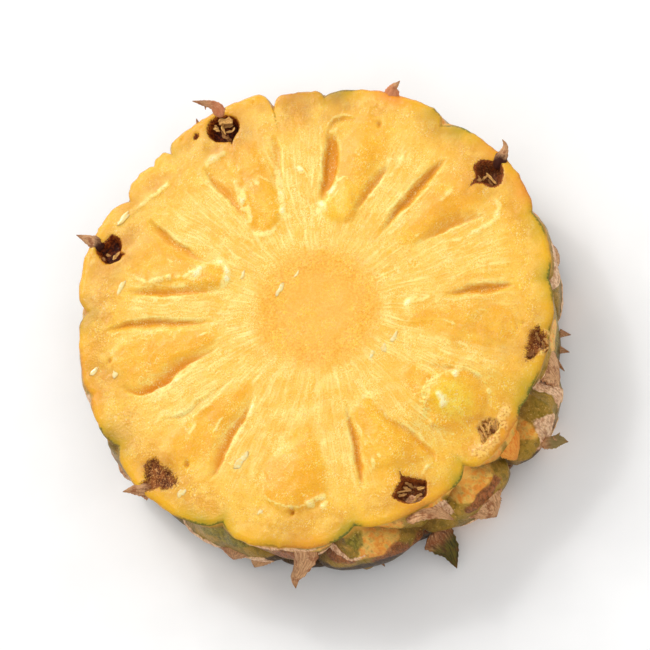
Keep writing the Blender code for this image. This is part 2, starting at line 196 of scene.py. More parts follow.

# A low raised line left by the knife or by a fruitlet's edge: points, height and width in mm, paleness.
# Where the paleness passes 1 at its crest it paints a white highlight.
Ridge = namedtuple("Ridge", "points height width pale")
RIDGES = [
    Ridge([(130, 55), (140.3, 54.2), (147.7, 56.1), (155.2, 59.1)], 0.28, 0.5, 0.7),
    Ridge([(121.3, 42.6), (123.9, 39.0), (125.2, 33.2), (127.8, 28.9)], 0.6, 0.8, 1.0),
    Ridge([(107.4, 43.5), (108.3, 37.5), (109.4, 32.0), (112.1, 27.4), (118.5, 24.8), (126.5, 25.6),
           (131.0, 28.4)],
          0.4, 0.8, 0.8),
    Ridge([(128.3, 50.5), (124.1, 51.2), (119.4, 50.1)], 0.2, 0.9, 0.6),
    Ridge([(114.5, 40.5), (115.7, 38.6), (116.8, 35.8)], 0.4, 0.7, 0.9),
    Ridge([(169.1, 48.3), (168.3, 44.4), (165, 40.1), (163.9, 35.7), (158.1, 33.4), (155.4, 31.6)],
          0.45, 0.7, 0.8),
    Ridge([(151.3, 30.6), (152.4, 27.6), (156.4, 25.6), (161.5, 25.2), (167.3, 27.0)], 0.5, 0.8, 1.0),
    Ridge([(167.2, 49.5), (168.2, 45.7), (166.1, 41.1), (163.0, 36.8)], 0.4, 0.7, 0.9),
    Ridge([(166.2, 34.4), (161.0, 33.0), (155.6, 31.7)], 0.5, 0.9, 1.0),
    Ridge([(175.6, 49.5), (174.2, 40), (171.9, 31)], 0.1, 0.6, 0.5),
    Ridge([(79.7, 50.4), (84.6, 50.3), (87, 48), (87, 45.6)], 0.3, 0.8, 0.3),
    Ridge([(64.5, 48), (63.4, 43.9), (64.0, 38.8), (66.6, 33.2), (69, 27.6)], 0.3, 0.6, 0.8),
    Ridge([(43.2, 46), (42.1, 42.2), (42, 39.2)], 0.3, 0.6, 0.7),
    Ridge([(33, 52.3), (28.6, 50.8), (25.6, 47), (25.4, 40.2), (26.6, 35.6)], 0.3, 0.7, 0.7),
    Ridge([(4.6, 28.4), (3.4, 25.8), (2.0, 23.2), (358.6, 22.1), (353.2, 22.9)], 0.3, 0.7, 0.9),
    Ridge([(90.2, 29.3), (90.9, 27.6), (90.4, 25.6), (88.0, 24.2)], 0.3, 1.0, 1.3),
    Ridge([(83.6, 33.6), (86.3, 31.6), (88.6, 30.2)], 0.2, 0.7, 1.1),
    Ridge([(207.3, 50.5), (208.4, 45.2), (207.3, 39.4), (204.4, 33.3), (203.6, 29)], 0.12, 0.6, 0.7),
    Ridge([(216.5, 47.2), (218.4, 42), (219.5, 37.2), (218.9, 33)], 0.25, 0.6, 0.7),
    Ridge([(227.9, 23.4), (233.8, 24.2), (237.8, 28), (240.2, 36), (241.6, 45)], 0.14, 0.6, 0.8),
    Ridge([(286.5, 31.2), (289.5, 28.8), (295.9, 27.5), (301, 27.1), (302, 29.3)], 0.35, 0.6, 0.9),
    Ridge([(307.6, 50), (303.4, 50.8), (301.2, 52.4)], 0.3, 0.5, 0.6),
    Ridge([(269.1, 51.7), (273, 50.1), (274.5, 48.5)], 0.5, 0.9, 0.9),
    Ridge([(272, 52.6), (275.2, 50.6)], 0.4, 0.8, 0.8),
    Ridge([(330.6, 37.6), (334.5, 41.5), (334.3, 45.5), (331.0, 49.6), (327.0, 51.4)], 0.25, 0.5, 0.7),
    # paleness past 1: painted highlights on the clear pad
    Ridge([(322.6, 38.6), (322.0, 40.4), (321.4, 42.8)], 0.5, 0.8, 1.6),
    Ridge([(320.8, 40.6), (320.2, 42.4)], 0.4, 0.6, 1.4),
    Ridge([(332.8, 38.9), (331.9, 39.8), (331.0, 40.6)], 0.4, 0.6, 1.5),
    Ridge([(100.2, 37.8), (97.8, 38.6)], 0.4, 1.0, 1.0),
    Ridge([(289.5, 46), (291, 42.5), (291.5, 38)], 0.3, 0.7, 0.5),
]

# A smooth, clear pad of flesh inside a fruitlet: its outline as (bearing, radius), how high it stands, and
# how pale its lip is, a painted highlight on the side the light comes from.
Pad = namedtuple("Pad", "outline height lip")
PADS = [
    Pad([(81.0, 35.8), (83.6, 34.4), (86.5, 31.6), (90.2, 28.6), (91.0, 25.6), (86.3, 23.3), (78.4, 22.8),
         (71.9, 24.2), (70.4, 28.0), (74.5, 32.2)], 0.9, 1.3),
    Pad([(316.4, 39.5), (319.9, 36.9), (325.3, 35.8), (330.7, 37.0), (333.5, 39.4), (334.3, 43.1),
         (332.9, 46.6),
         (329.7, 49.7), (325.5, 51.4), (322.3, 50.3), (318.4, 48.1), (314.3, 45.9), (313.5, 42.7)], 1.0, 0.9),
    Pad([(124.6, 38.6), (128.3, 29.1), (120.2, 24.9), (111.5, 28.8), (110.0, 36.4), (114.5, 40.2)], 0.7, 0.8),
    Pad([(166.5, 33.2), (155.0, 31.4), (154.4, 26.9), (159.8, 25.4), (167.0, 26.7)], 0.9, 0.9),
    Pad([(254.3, 44.6), (256.5, 38.7), (261.5, 35.4), (271.2, 34.5), (275.5, 40.9), (274.2, 49.0),
         (268.8, 53.4),
         (261.7, 53.1), (256.6, 49.7)], 0.5, 0.1),
    Pad([(290.1, 29.0), (300.9, 27.5), (302.2, 31.7), (305.2, 39.8), (307.9, 47.1), (304.0, 48.4),
         (295.9, 47.3),
         (288.5, 44.7), (288.9, 36.8)], 0.6, 0.7),
]
# Dry tan flesh along the rim.
TAN_BANDS = [
    Ridge([(331.9, 54.0), (327.9, 54.8), (324.3, 56.2), (321.1, 56.6), (318.3, 56.0), (314.4, 54.9)], 0.6,
          1.3, 1.2),
    Ridge([(352.6, 57.0), (349.0, 58.6), (345.0, 57.4)], 0.2, 0.8, 0.8),
]

# A smooth raised patch: bearing and radius of its middle, half its length along the radius, half its width,
# its height and how lemon yellow it is, or golden if less than 0.
Patch = namedtuple("Patch", "bearing radius half_length half_width height lemon")
PATCHES = [
    Patch(265.0, 45.0, 9.0, 8.0, 0.4, -0.9),
    Patch(323.6, 42.5, 6.5, 5.5, 0.9, 1.0),
    Patch(77.0, 41.0, 8.0, 5.0, 0.4, -0.6),
    Patch(297.0, 40.0, 9.0, 4.6, 0.4, 0.2),
    Patch(40.0, 37.0, 8.0, 4.6, 0.4, -0.3),
    Patch(83.0, 28.0, 5.0, 4.5, 0.0, 0.5),
]

# Where the knife tore the flesh to crumbs.
CRUMBLE = Ridge([(333.5, 39.3), (329.5, 36.3), (323.3, 35.6), (317.8, 37.2), (314.2, 41.1), (313.6, 45.2)],
                0.8, 1.7, 1.0)

# The fruitlets' flesh inside the cut: bearing, where it starts and ends, half its width in degrees.
Fruitlet = namedtuple("Fruitlet", "bearing start end half_width")
FRUITLETS = [
    Fruitlet(40.5, 24, 52, 11.5), Fruitlet(77, 23, 53, 12), Fruitlet(118, 25, 53, 11),
    Fruitlet(161.5, 25, 53, 10.5), Fruitlet(193.5, 25, 54, 11), Fruitlet(228.5, 24, 53, 10.5),
    Fruitlet(265, 29, 54, 11), Fruitlet(295.5, 27, 52, 9.5), Fruitlet(322, 27, 51, 11),
    Fruitlet(352, 22, 50, 12),
]

# A dried flower's hollow: its outline on the cut, anticlockwise, as (bearing, radius). Then its depth, how
# wide its wall is, how brown the flesh round it is, and what fills it: from 0 for nothing, through 1 for
# brown felt, to 1.5 for tan fibres.
Cup = namedtuple("Cup", "outline depth wall halo fill")
CUPS = [
    Cup([(120.6, 60.6), (121.5, 59.7), (122.1, 58.3), (122.1, 56.4), (121.2, 54.7), (119.5, 53.6),
         (118.3, 53.1),
         (118.0, 51.9), (116.8, 53.2), (115.6, 54.0), (114.3, 55.1), (113.7, 56.7), (114.0, 58.5),
         (115.8, 60.1),
         (117.9, 61.1), (119.6, 61.1)], 3.6, 1.1, 0.9, 0.0),
    Cup([(42.7, 51.9), (41.3, 51.3), (40.3, 50.3), (40.0, 49.0), (39.2, 47.1), (39.4, 48.8), (38.8, 50.1),
         (37.4, 51.3), (36.3, 51.6), (35.1, 52.4), (34.6, 53.8), (35.0, 55.3), (36.4, 56.9), (38.2, 57.9),
         (40.4, 58.2), (41.6, 56.9), (43.1, 55.7), (44.0, 54.1), (43.7, 52.7)], 3.6, 2.6, 0.9, 0.38),
    Cup([(350.6, 53.9), (349.2, 53.9), (347.7, 53.7), (345.9, 53.7), (345.0, 54.1), (343.9, 54.1),
         (343.3, 55.0),
         (344.0, 55.9), (345.6, 56.6), (346.4, 57.7), (346.3, 58.8), (347.4, 59.3), (349.2, 58.4),
         (350.7, 57.7),
         (351.5, 56.4), (352.5, 55.7), (352.2, 55.1), (351.7, 54.4)], 1.8, 1.2, 1.0, 0.75),
    Cup([(321.9, 51.3), (323.7, 51.2), (325.6, 51.9), (326.2, 53.8), (325.2, 55.4), (323.2, 55.6),
         (321.2, 55.0),
         (319.4, 55.6), (319.0, 54.6), (320.5, 53.2), (320.9, 51.8)], 1.2, 0.8, 0.6, 1.5),
    Cup([(296.1, 50.6), (294.8, 51.5), (293.4, 52.6), (292.3, 53.5), (292.7, 54.7), (294.1, 56.2),
         (295.4, 57.1),
         (296.5, 57.6), (298.5, 57.7), (300.0, 57.1), (301.2, 55.2), (301.9, 53.8), (301.1, 52.9),
         (298.4, 51.0),
         (297.1, 50.0), (296.9, 48.1)], 2.6, 1.0, 0.8, 0.4),
    Cup([(224.6, 58.6), (226.3, 60.1), (226.7, 61.6), (227.8, 62.1), (229.4, 61.1), (229.9, 59.8),
         (231.9, 58.3),
         (232.9, 57.1), (232.8, 55.6), (231.7, 54.8), (229.5, 54.4), (227.2, 54.9), (225.5, 54.7),
         (224.3, 54.9),
         (223.3, 56.2), (223.5, 57.8)], 1.4, 0.8, 0.8, 1.0),
    Cup([(160.4, 61.8), (161.7, 61.4), (162.9, 61.0), (163.9, 59.6), (165.0, 58.5), (165.4, 57.0),
         (164.7, 55.5),
         (163.3, 54.2), (162.1, 54.0), (161.4, 53.4), (161.2, 54.7), (159.8, 54.9), (158.0, 56.1),
         (157.3, 57.9),
         (157.9, 59.2), (159.1, 59.5), (160.0, 60.2)], 3.0, 1.2, 0.9, 0.1),
    Cup([(125.8, 59.1), (125.3, 59.8), (124.3, 60.0), (123.8, 59.5), (124.4, 58.7), (125.5, 58.5)], 1.2, 0.6,
        0.5, 0.3),
]

# A shred of dried flower in a hollow: the (bearing, radius) line it lies along, half its width, how far below
# the cut it lies, and its tone from dark to pale.
Husk = namedtuple("Husk", "line half_width below tone")
HUSKS = [
    Husk([(118.3, 59.6), (116.7, 58.9), (115.1, 57.6)], 1.05, 0.7, 0.85),
    Husk([(118.1, 58.6), (116.8, 57.6), (115.4, 57.0)], 0.50, 1.1, 0.35),
    Husk([(115.3, 56.4), (116.2, 55.6), (117.8, 56.0)], 0.26, 0.9, 0.85),
    Husk([(117.1, 59.5), (118.0, 57.8), (118.2, 55.5)], 0.28, 0.8, 0.95),
    Husk([(120.1, 58.8), (119.6, 58.1), (119.1, 57.3)], 0.34, 0.9, 1.00),
    Husk([(119.5, 59.3), (119.1, 58.4)], 0.26, 1.1, 0.80),
    Husk([(118.3, 55.6), (117.8, 53.7)], 0.50, 2.4, 0.20),
    Husk([(118.4, 57.6), (118.8, 55.7), (118.0, 54.3)], 0.35, 1.8, 0.30),
    Husk([(40.1, 53.8), (38.0, 53.9), (36.0, 54.0)], 0.27, 1.6, 0.95),
    Husk([(39.4, 52.0), (39.3, 52.8), (39.0, 53.7)], 0.33, 1.3, 0.80),
    Husk([(41.1, 51.7), (40.1, 51.3), (38.9, 51.5)], 0.46, 0.7, 0.45),
    Husk([(38.6, 53.3), (37.1, 53.0), (35.7, 52.9)], 0.30, 2.4, 0.35),
    Husk([(350.7, 55.2), (349.8, 55.8), (348.8, 56.4)], 0.26, 0.7, 0.45),
    Husk([(349.7, 57.4), (349.1, 58.1), (348.3, 58.8)], 0.34, 0.4, 0.80),
    Husk([(346.7, 56.7), (346.4, 57.7), (346.4, 58.5)], 0.38, 0.4, 0.75),
    Husk([(344.2, 54.7), (345.0, 55.2), (346.0, 55.6)], 0.42, 0.6, 0.15),
    Husk([(346.0, 57.5), (346.7, 58.3), (347.3, 59.3)], 0.30, 0.3, 0.90),
    Husk([(348.6, 57.1), (347.9, 57.7), (347.1, 57.8)], 0.24, 0.6, 0.50),
    Husk([(322.5, 51.6), (321.8, 53.2), (320.6, 55.4)], 0.26, 0.3, 1.00),
    Husk([(323.8, 52.0), (322.9, 53.6), (321.9, 55.6)], 0.22, 0.4, 0.90),
    Husk([(323.4, 51.3), (324.2, 53.4), (324.0, 55.6)], 0.30, 0.6, 0.55),
    Husk([(325.6, 52.8), (323.8, 53.4), (321.9, 54.4)], 0.20, 0.1, 1.00),
    Husk([(326.0, 54.0), (324.9, 54.4), (323.7, 55.4)], 0.28, 0.2, 0.85),
    Husk([(320.4, 53.4), (319.9, 54.4), (319.2, 55.6)], 0.26, 0.2, 0.95),
    Husk([(322.6, 53.6), (323.4, 54.4), (323.2, 55.4)], 0.34, 0.9, 0.15),
    Husk([(321.2, 51.8), (321.0, 53.0), (320.0, 54.6)], 0.20, 0.3, 0.80),
    Husk([(296.8, 51.7), (297.5, 52.4), (298.1, 53.4)], 0.30, 1.6, 0.40),
    Husk([(293.5, 52.9), (295.4, 53.4), (297.3, 54.3)], 0.22, 1.0, 0.62),
    Husk([(298.9, 54.9), (299.7, 54.7), (300.6, 54.6)], 0.42, 0.7, 0.95),
    Husk([(293.7, 53.8), (294.7, 54.2), (295.9, 54.5)], 0.30, 1.1, 0.45),
    Husk([(295.8, 52.3), (296.5, 53.1), (297.1, 53.9)], 0.34, 1.5, 0.55),
    Husk([(298.3, 53.2), (299.0, 54.0), (299.6, 55.2)], 0.26, 1.6, 0.25),
    Husk([(297.1, 56.7), (298.2, 56.3), (299.3, 56.3)], 0.30, 0.6, 0.60),
    Husk([(296.3, 57.2), (297.1, 56.9), (297.8, 56.6)], 0.24, 0.5, 0.75),
    Husk([(163.8, 55.9), (162.4, 55.6), (160.8, 55.3)], 0.33, 1.0, 1.00),
    Husk([(162.5, 58.5), (162.8, 57.7), (162.9, 56.9)], 0.34, 1.2, 0.50),
    Husk([(163.5, 59.1), (164.3, 58.1)], 0.30, 1.5, 0.30),
]

# Pale streaks the knife left in the fruitlets: bearing and radius of both ends.
STROKES = [
    (122.1, 43.3, 124.1, 41.3), (112.5, 44.5, 115.2, 39.9), (106.9, 40.3, 109.6, 32.1),
    (126.2, 36.1, 129.0, 31.1), (116.1, 44.4, 118.1, 41.7), (118.0, 39.4, 119.9, 38.0),
    (85.9, 42.8, 83.2, 31.9), (72.0, 42.0, 69.9, 44.2), (71.4, 34.2, 72.5, 30.1), (68.2, 33.6, 69.7, 30.5),
    (62.2, 36.6, 66.1, 27.7), (85.3, 29.1, 82.0, 32.5), (66.3, 44.3, 61.5, 42.8), (56.1, 37.1, 56.5, 26.9),
    (56.4, 40.8, 54.8, 44.7), (42.7, 40.6, 41.6, 36.0), (185.6, 53.2, 184.2, 50.1),
    (185.6, 45.5, 187.7, 39.1), (191.7, 48.0, 193.2, 43.5), (194.4, 38.4, 198.9, 43.9),
    (192.5, 33.0, 190.3, 26.4), (196.0, 53.9, 197.8, 55.4), (290.5, 41.0, 289.5, 33.0),
    (293.5, 44.0, 292.0, 36.0), (255.0, 40.0, 256.5, 33.0), (262.0, 36.0, 262.5, 30.5),
    (232.0, 42.0, 230.5, 34.0), (226.0, 46.0, 224.0, 38.0), (222.5, 40.0, 222.0, 33.0),
    (158.5, 46.0, 160.0, 39.0), (163.5, 50.0, 162.0, 45.0), (350.0, 38.0, 351.5, 31.0),
    (356.5, 43.0, 357.5, 35.0), (37.0, 33.0, 36.0, 27.0), (46.0, 30.0, 48.0, 25.0),
]

# A mark on the rind: its kind, the bearing and height of its middle, half its width in degrees and half its
# height in mm. The dark marks low on the side, at 5 mm and below, are painted shade at the foot; the higher
# ones are dark spots.
RIND_MARKS = [
    ("amber", 286.5, 19, 6.0, 4.8), ("amber", 313, 20.6, 7.5, 4.4), ("amber", 326, 20.0, 4.0, 5.0),
    ("amber", 300, 22, 3.0, 2.2), ("amber", 352, 20, 3.0, 4.0), ("amber", 270, 21.5, 7.0, 1.4),
    ("green", 280.5, 22.5, 2.2, 2.6), ("green", 350, 9, 6.0, 5.0), ("green", 356, 15, 4.0, 4.0),
    ("green", 250, 20, 6.0, 3.0), ("papery", 309, 3.0, 8.0, 3.2), ("papery", 332, 13, 3.4, 5.0),
    ("papery", 334, 3, 3.4, 3.4), ("papery", 342, 10, 1.8, 9.0), ("papery", 12, 19, 6.0, 3.4),
    ("papery", 6.5, 5, 5.5, 3.6), ("papery", 263, 23.2, 9.0, 1.3), ("papery", 239, 11.0, 7.0, 2.8),
    ("papery", 252, 8.0, 6.0, 2.4), ("papery", 301, 18.0, 2.6, 3.4), ("papery", 274, 17.0, 8.0, 0.9),
    ("dark_and_foot_shade", 277, 5, 9.0, 6.0), ("dark_and_foot_shade", 262, 4, 8.0, 5.0), ("dark_and_foot_shade", 293, 2, 7.0, 4.0),
    ("dark_and_foot_shade", 286, 9, 3.0, 2.0), ("red", 270, 15.5, 10.0, 3.0), ("red", 287, 12.0, 4.0, 3.0),
    ("red", 292, 8.0, 4.0, 2.5), ("red", 262, 19.5, 8.0, 1.5), ("red", 335, 8.5, 2.0, 1.8),
    ("red", 322, 4.0, 6.0, 1.4), ("red", 311.5, 14.2, 5.5, 2.0), ("dark_and_foot_shade", 310, 9.0, 5.0, 2.0),
    ("red", 341, 14, 3.0, 3.0), ("papery", 339.5, 17, 1.7, 5.5), ("red", 331, 9, 2.5, 2.0),
    ("dark_and_foot_shade", 326, 8.0, 3.0, 2.0),
]

SEEN_RIND = (305, 72)  # middle and half width of the bearings that RIND_MARKS is for

# A pinhole in the cut: bearing, radius, half width and depth in mm.
PITS = [
    (192.7, 53.9, 0.6, 0.9), (231.9, 50.5, 0.7, 1.2), (265.5, 53.1, 0.6, 1.6), (74.5, 51.2, 0.7, 1.0),
    (128.0, 61.2, 0.5, 0.7), (108.5, 60.5, 0.4, 0.5), (353.2, 51.5, 0.35, 0.5), (351.6, 50.2, 0.3, 0.4),
]
# Where the flesh is browner: bearing, radius, reach in mm and strength.
STAINS = [
    (98, 58, 7.0, 1.3), (92, 55, 6.0, 0.9), (88, 57, 5.0, 0.8), (117, 54, 7.0, 0.9), (124, 57, 5.0, 0.6),
    (39, 50, 7.0, 0.7), (349, 52, 8.0, 1.0), (160, 54, 6.0, 0.8), (166, 57, 5.0, 0.8), (228, 56, 5.0, 0.7),
    (148, 60, 5.0, 0.6), (178, 60, 5.0, 0.7), (196, 58, 6.0, 0.6), (213, 58, 5.0, 0.7), (268, 57, 6.0, 0.5),
    (60, 56, 5.0, 0.6), (40, 42, 6.0, 0.3), (352, 40, 9.0, 0.3), (118, 40, 6.0, 0.2), (295, 55, 5.0, 0.6),
]
BUMPY_RIM = [(140, 9), (96, 9), (62, 6)]  # where the rim is more uneven: bearing and half width in degrees

# Where the rim is green or orange: bearing, half width in degrees and strength.
GREEN_RIM = [(88, 5, 1.0), (96, 4, 0.5), (54, 6, 0.9), (62, 4, 0.5), (5, 6, 0.7), (20, 6, 0.6), (213, 5, 1.0),
             (245, 6, 1.0), (279, 4, 1.0), (309, 4, 1.0), (335, 6, 0.9), (180, 4, 0.6), (262, 5, 0.4),
             (351, 6, 0.6), (131, 3, 0.4)]
ORANGE_RIM = [(74, 6, 0.9), (98, 5, 0.6), (44, 5, 0.6), (30, 5, 0.7), (125, 8, 0.3), (150, 5, 0.2),
              (113, 6, 0.3),
              (200, 5, 0.5), (268, 9, 0.5), (300, 8, 0.5), (325, 6, 0.8), (192, 5, 0.4)]


def smooth(low, high, value):
    """0 below low, 1 above high, with an S-shaped rise between."""
    share = np.clip((value - low) / (high - low), 0, 1)
    return share * share * (3 - 2 * share)


def bell(distance, width):
    return np.exp(-((distance / width) ** 2))


def turn_from(bearing, middle):
    """Degrees from middle to bearing, from -180 to 180."""
    return (bearing - middle + 180) % 360 - 180


def scatter(cells, seed):
    """A repeatable number from 0 to 1 for each row of three whole numbers."""
    mixed = np.full(cells.shape[:-1], seed * 2654435761 % 2**32, dtype=np.uint32)
    for axis, factor in enumerate((73856093, 19349663, 83492791)):
        mixed ^= cells[..., axis].astype(np.uint32) * np.uint32(factor)
        mixed ^= mixed >> np.uint32(13)
        mixed *= np.uint32(2246822519)
    mixed ^= mixed >> np.uint32(16)
    return mixed / 2**32


def noise(points, size, seed):
    """Smooth noise from -1 to 1, with lumps about size across, at the (n, 3) points."""
    scaled = points / size
    base = np.floor(scaled)
    part = scaled - base
    part = part * part * (3 - 2 * part)
    cells = base.astype(np.int64)
    total = np.zeros(len(points))
    for corner in np.ndindex(2, 2, 2):
        offset = np.array(corner)
        weight = np.prod(np.where(offset, part, 1 - part), axis=1)
        total += weight * scatter(cells + offset, seed)
    return 2 * total - 1


def columns(*arrays):
    return np.stack(np.broadcast_arrays(*arrays), axis=-1)


def outward(bearing):
    """The directions, (n, 2), that the bearings point in."""
    turned = np.radians(bearing)
    return columns(np.cos(turned), np.sin(turned))


def polar(bearing, radius, height):
    turned = math.radians(bearing)
    return np.array([radius * math.cos(turned), radius * math.sin(turned), height])


def dip_height(places):
    """Height of the knife's dip above the table, which is above the cut where there is no dip."""
    out = polar(DIP_BEARING, 1, 0)
    at_rim = RIND_RADIUS * out + np.array([0, 0, THICKNESS])
    inwards = (RIND_RADIUS - DIP_REACH) * out + np.array([0, 0, THICKNESS])
    chord = inwards - (at_rim - np.array([0, 0, DIP_DEPTH]))
    up = np.cross(np.cross(chord, [0, 0, 1]), chord)
    up /= np.linalg.norm(up)
    half = np.linalg.norm(chord) / 2
    centre = inwards - chord / 2 + up * math.sqrt(DIP_BALL**2 - half**2)
    away = np.hypot(*(places - centre[:2]).T)
    return centre[2] - np.sqrt(np.clip(DIP_BALL**2 - away**2, 0, None))


def softly_lower(a, b, width=0.5):
    """The lower of two heights, with the crease between them rounded."""
    blend = np.clip(0.5 + 0.5 * (b - a) / width, 0, 1)
    return b * (1 - blend) + a * blend - width * blend * (1 - blend)


# ---- the rind -------------------------------------------------------------------------------------------


def eyes():
    """Bearing, height and share of SWELL of every fruitlet that shows on the side or shapes a border
    there."""
    rows = [(bearing, THICKNESS + up, share) for bearing, up, share in TOP_ROW + ROW_ABOVE + ROW_BELOW]
    rows += [(bearing, THICKNESS - 2 * ROW_PITCH, share) for bearing, _, share in TOP_ROW]
    return np.array(rows)


EYES = eyes()


def rind_cells(bearing, height):
    """For each point of the rind: its fruitlet's number, how far it is across and up from that eye, its
    distance to the border of the fruitlet, how far inside it is from 0 to 1, and its share of SWELL."""
    across = np.radians(turn_from(bearing[:, None], EYES[None, :, 0])) * RIND_RADIUS
    up = height[:, None] - EYES[None, :, 1]
    distance = np.hypot(across, up)
    order = np.argsort(distance, axis=1)[:, :2]
    rows = np.arange(len(bearing))
    near, second = distance[rows, order[:, 0]], distance[rows, order[:, 1]]
    cell = order[:, 0]
    return {
        "cell": cell,
        "across": across[rows, cell],
        "up": up[rows, cell],
        "border": (second - near) / 2,
        "inside": 1 - near / second,
        "share": EYES[cell, 2],
    }


def plain_rind_radius(bearing, height):
    """The solid's own radius at each bearing and height."""
    cells = rind_cells(bearing, height)
    swell = SWELL * cells["share"] * (1 - (1 - cells["inside"]) ** 3)
    up = height / THICKNESS
    barrel = BARREL_SWELL * np.sin(math.pi * up) - FOOT_TUCK * (1 - up) ** 4
    turned = np.radians(bearing)
    off_centre = RIND_CENTRE[0] * np.cos(turned) + RIND_CENTRE[1] * np.sin(turned)
    return RIND_RADIUS + off_centre + swell + barrel, cells


def rind_points(bearing, height):
    """Points of the rind as they lie on a drum of its radius, for noise that doesn't stretch."""
    turned = np.radians(bearing)
    return columns(MEAN_RIM * np.cos(turned), MEAN_RIM * np.sin(turned), height)


def lobed_rim(bearing):
    """Radius of the rim of the upper cut at each bearing."""
    radius = np.zeros(len(bearing))
    following = LOBES[1:] + [LOBES[0]._replace(bearing=LOBES[0].bearing + 360)]
    for lobe, after in zip(LOBES, following):
        share = (bearing - lobe.bearing) % 360 / (after.bearing - lobe.bearing)
        inside = share < 1
        share = np.clip(share, 0, 1)
        line = lobe.notch + (after.notch - lobe.notch) * share
        before, beyond = (lobe.skew - share) / lobe.skew, (share - lobe.skew) / (1 - lobe.skew)
        off = np.where(share < lobe.skew, before, beyond)
        here = line + (lobe.crest - line) * (1 - off**lobe.square)
        radius = np.where(inside, here, radius)
    return radius


def cut_height(bearing):
    """Height of the upper cut at the rim."""
    places = RIND_RADIUS * outward(bearing)
    return softly_lower(np.full(len(places), THICKNESS), dip_height(places))


def mark_rind(bearing, height, points):
    """How strongly each kind of RIND_MARKS shows at each point."""
    bearing = bearing + 1.8 * noise(points, 5.0, 25) + 0.8 * noise(points, 1.7, 26)
    height = height + 1.5 * noise(points, 5.0, 27) + 0.7 * noise(points, 1.7, 28)
    marks = {}
    for kind, middle, level, half_turn, half_height in RIND_MARKS:
        away = np.abs(turn_from(bearing, middle) / half_turn) ** 3
        away = away + np.abs((height - level) / half_height) ** 3
        shown = smooth(1.3, 0.7, away)
        marks[kind] = np.maximum(marks.get(kind, 0), shown)
    return marks


def rind_surface(bearing, height):
    """Radius of the dressed rind, and what its material needs to know there."""
    radius, cells = plain_rind_radius(bearing, height)
    points = rind_points(bearing, height)
    at_cut = cut_height(bearing)
    cut_radius, _ = plain_rind_radius(bearing, at_cut)
    near_cut = np.exp(-np.clip(at_cut - height, 0, None) / 5)
    bumpy = 1 + 1.6 * sum(bell(turn_from(bearing, middle), width) for middle, width in BUMPY_RIM)
    uneven = bumpy * (0.16 * noise(points, 2.2, 35) + 0.08 * noise(points, 1.1, 36))
    radius = radius + (lobed_rim(bearing) + uneven - cut_radius) * near_cut
    radius = radius - 0.75 * bell(cells["border"], 0.8) * (1 - near_cut)
    seen = smooth(1.06, 0.94, np.abs(turn_from(bearing, SEEN_RIND[0])) / SEEN_RIND[1])
    radius = radius + 1.6 * bell(cells["inside"], 0.22) * bell(turn_from(bearing, 310), 34) * (1 - near_cut)
    marks = mark_rind(bearing, height, points)
    # a dry scale lies over the middle of each fruitlet, thicker than the skin round it
    scale_edge = 3.9 + 2.2 * noise(points, 2.6, 21) - np.hypot(cells["across"] * 0.65, cells["up"] + 0.5)
    scale = 0.8 * smooth(-0.3, 1.5, scale_edge) * (1 - seen)
    papery = np.maximum(scale, marks["papery"] * seen)
    radius = radius + 0.35 * papery
    wrinkles = noise(points * np.array([1.0, 1.0, 0.25]), 0.9, 22)
    radius = radius + (0.04 + 0.12 * papery) * wrinkles
    radius = radius + 0.26 * noise(points, 4.2, 23) + 0.06 * noise(points, 1.1, 24)
    tone = scatter(columns(cells["cell"], 0, 0), 5)
    patch = noise(points, 7.0, 29)
    up = np.clip(1 - (at_cut - height) / THICKNESS, 0, 1)
    amber = smooth(0.15, 0.5, patch + 0.5 * tone + 0.5 * up - 0.35)
    green = smooth(0.1, 0.5, noise(points, 6.0, 30) + 0.3 * (1 - tone))
    masks = {
        "papery": papery,
        "amber": np.where(seen > 0.5, marks["amber"], amber * (1 - seen)),
        "fresh": np.where(seen > 0.5, marks["green"], 0.8 * green * (1 - seen)),
        "dark_and_foot_shade": marks["dark_and_foot_shade"] * seen,
        "red": marks["red"] * seen + 0.5 * (1 - seen) * smooth(0.3, 0.6, -patch),
        "border": np.exp(-cells["border"] / 0.9),
        # how far down the side from the cut, by which the rind's colour darkens as painted shade at the foot
        "below": 1 - up,
    }
    return radius, masks


# ---- the cut faces --------------------------------------------------------------------------------------


def curve_through(knots, steps, closed=False):
    """A smooth curve through the knots, each a row of numbers, with steps places from one to the next."""
    if closed:
        padded = np.vstack([knots[-1], knots, knots[:2]])
    else:
        padded = np.vstack([2 * knots[0] - knots[1], knots, 2 * knots[-1] - knots[-2]])
    path = []
    for before, start, end, after in zip(padded, padded[1:], padded[2:], padded[3:]):
        for step in range(steps):
            t = step / steps
            path.append(
                0.5 * (2 * start + (end - before) * t + (2 * before - 5 * start + 4 * end - after) * t**2
                       + (3 * start - before - 3 * end + after) * t**3)
            )
    if not closed:
        path.append(knots[-1])
    return np.array(path)


def flat_places(points):
    """Points given as (bearing, radius) as an (n, 2) array of places."""
    bearing, radius = np.array(points, dtype=float).T
    return radius[:, None] * outward(bearing)


def smooth_path(points, steps=5):
    """A curve through (bearing, radius) points, as an (n, 2) array of places."""
    return curve_through(flat_places(points), steps)


def along(places, path):
    """For each place: its distance from the path, more than 0 on its left, and how far along that is."""
    best = np.full(len(places), np.inf)
    side = np.ones(len(places))
    share = np.zeros(len(places))
    lengths = np.hypot(*(path[1:] - path[:-1]).T)
    run = np.concatenate([[0], np.cumsum(lengths)])
    for start, end, length, before in zip(path, path[1:], lengths, run):
        line = (end - start) / length
        offset = places - start
        along_it = np.clip(offset @ line, 0, length)
        distance = np.hypot(*(offset - along_it[:, None] * line).T)
        closer = distance < best
        best = np.where(closer, distance, best)
        side = np.where(closer, np.sign(line[0] * offset[:, 1] - line[1] * offset[:, 0]), side)
        share = np.where(closer, (before + along_it) / run[-1], share)
    return best * np.where(side == 0, 1, side), share


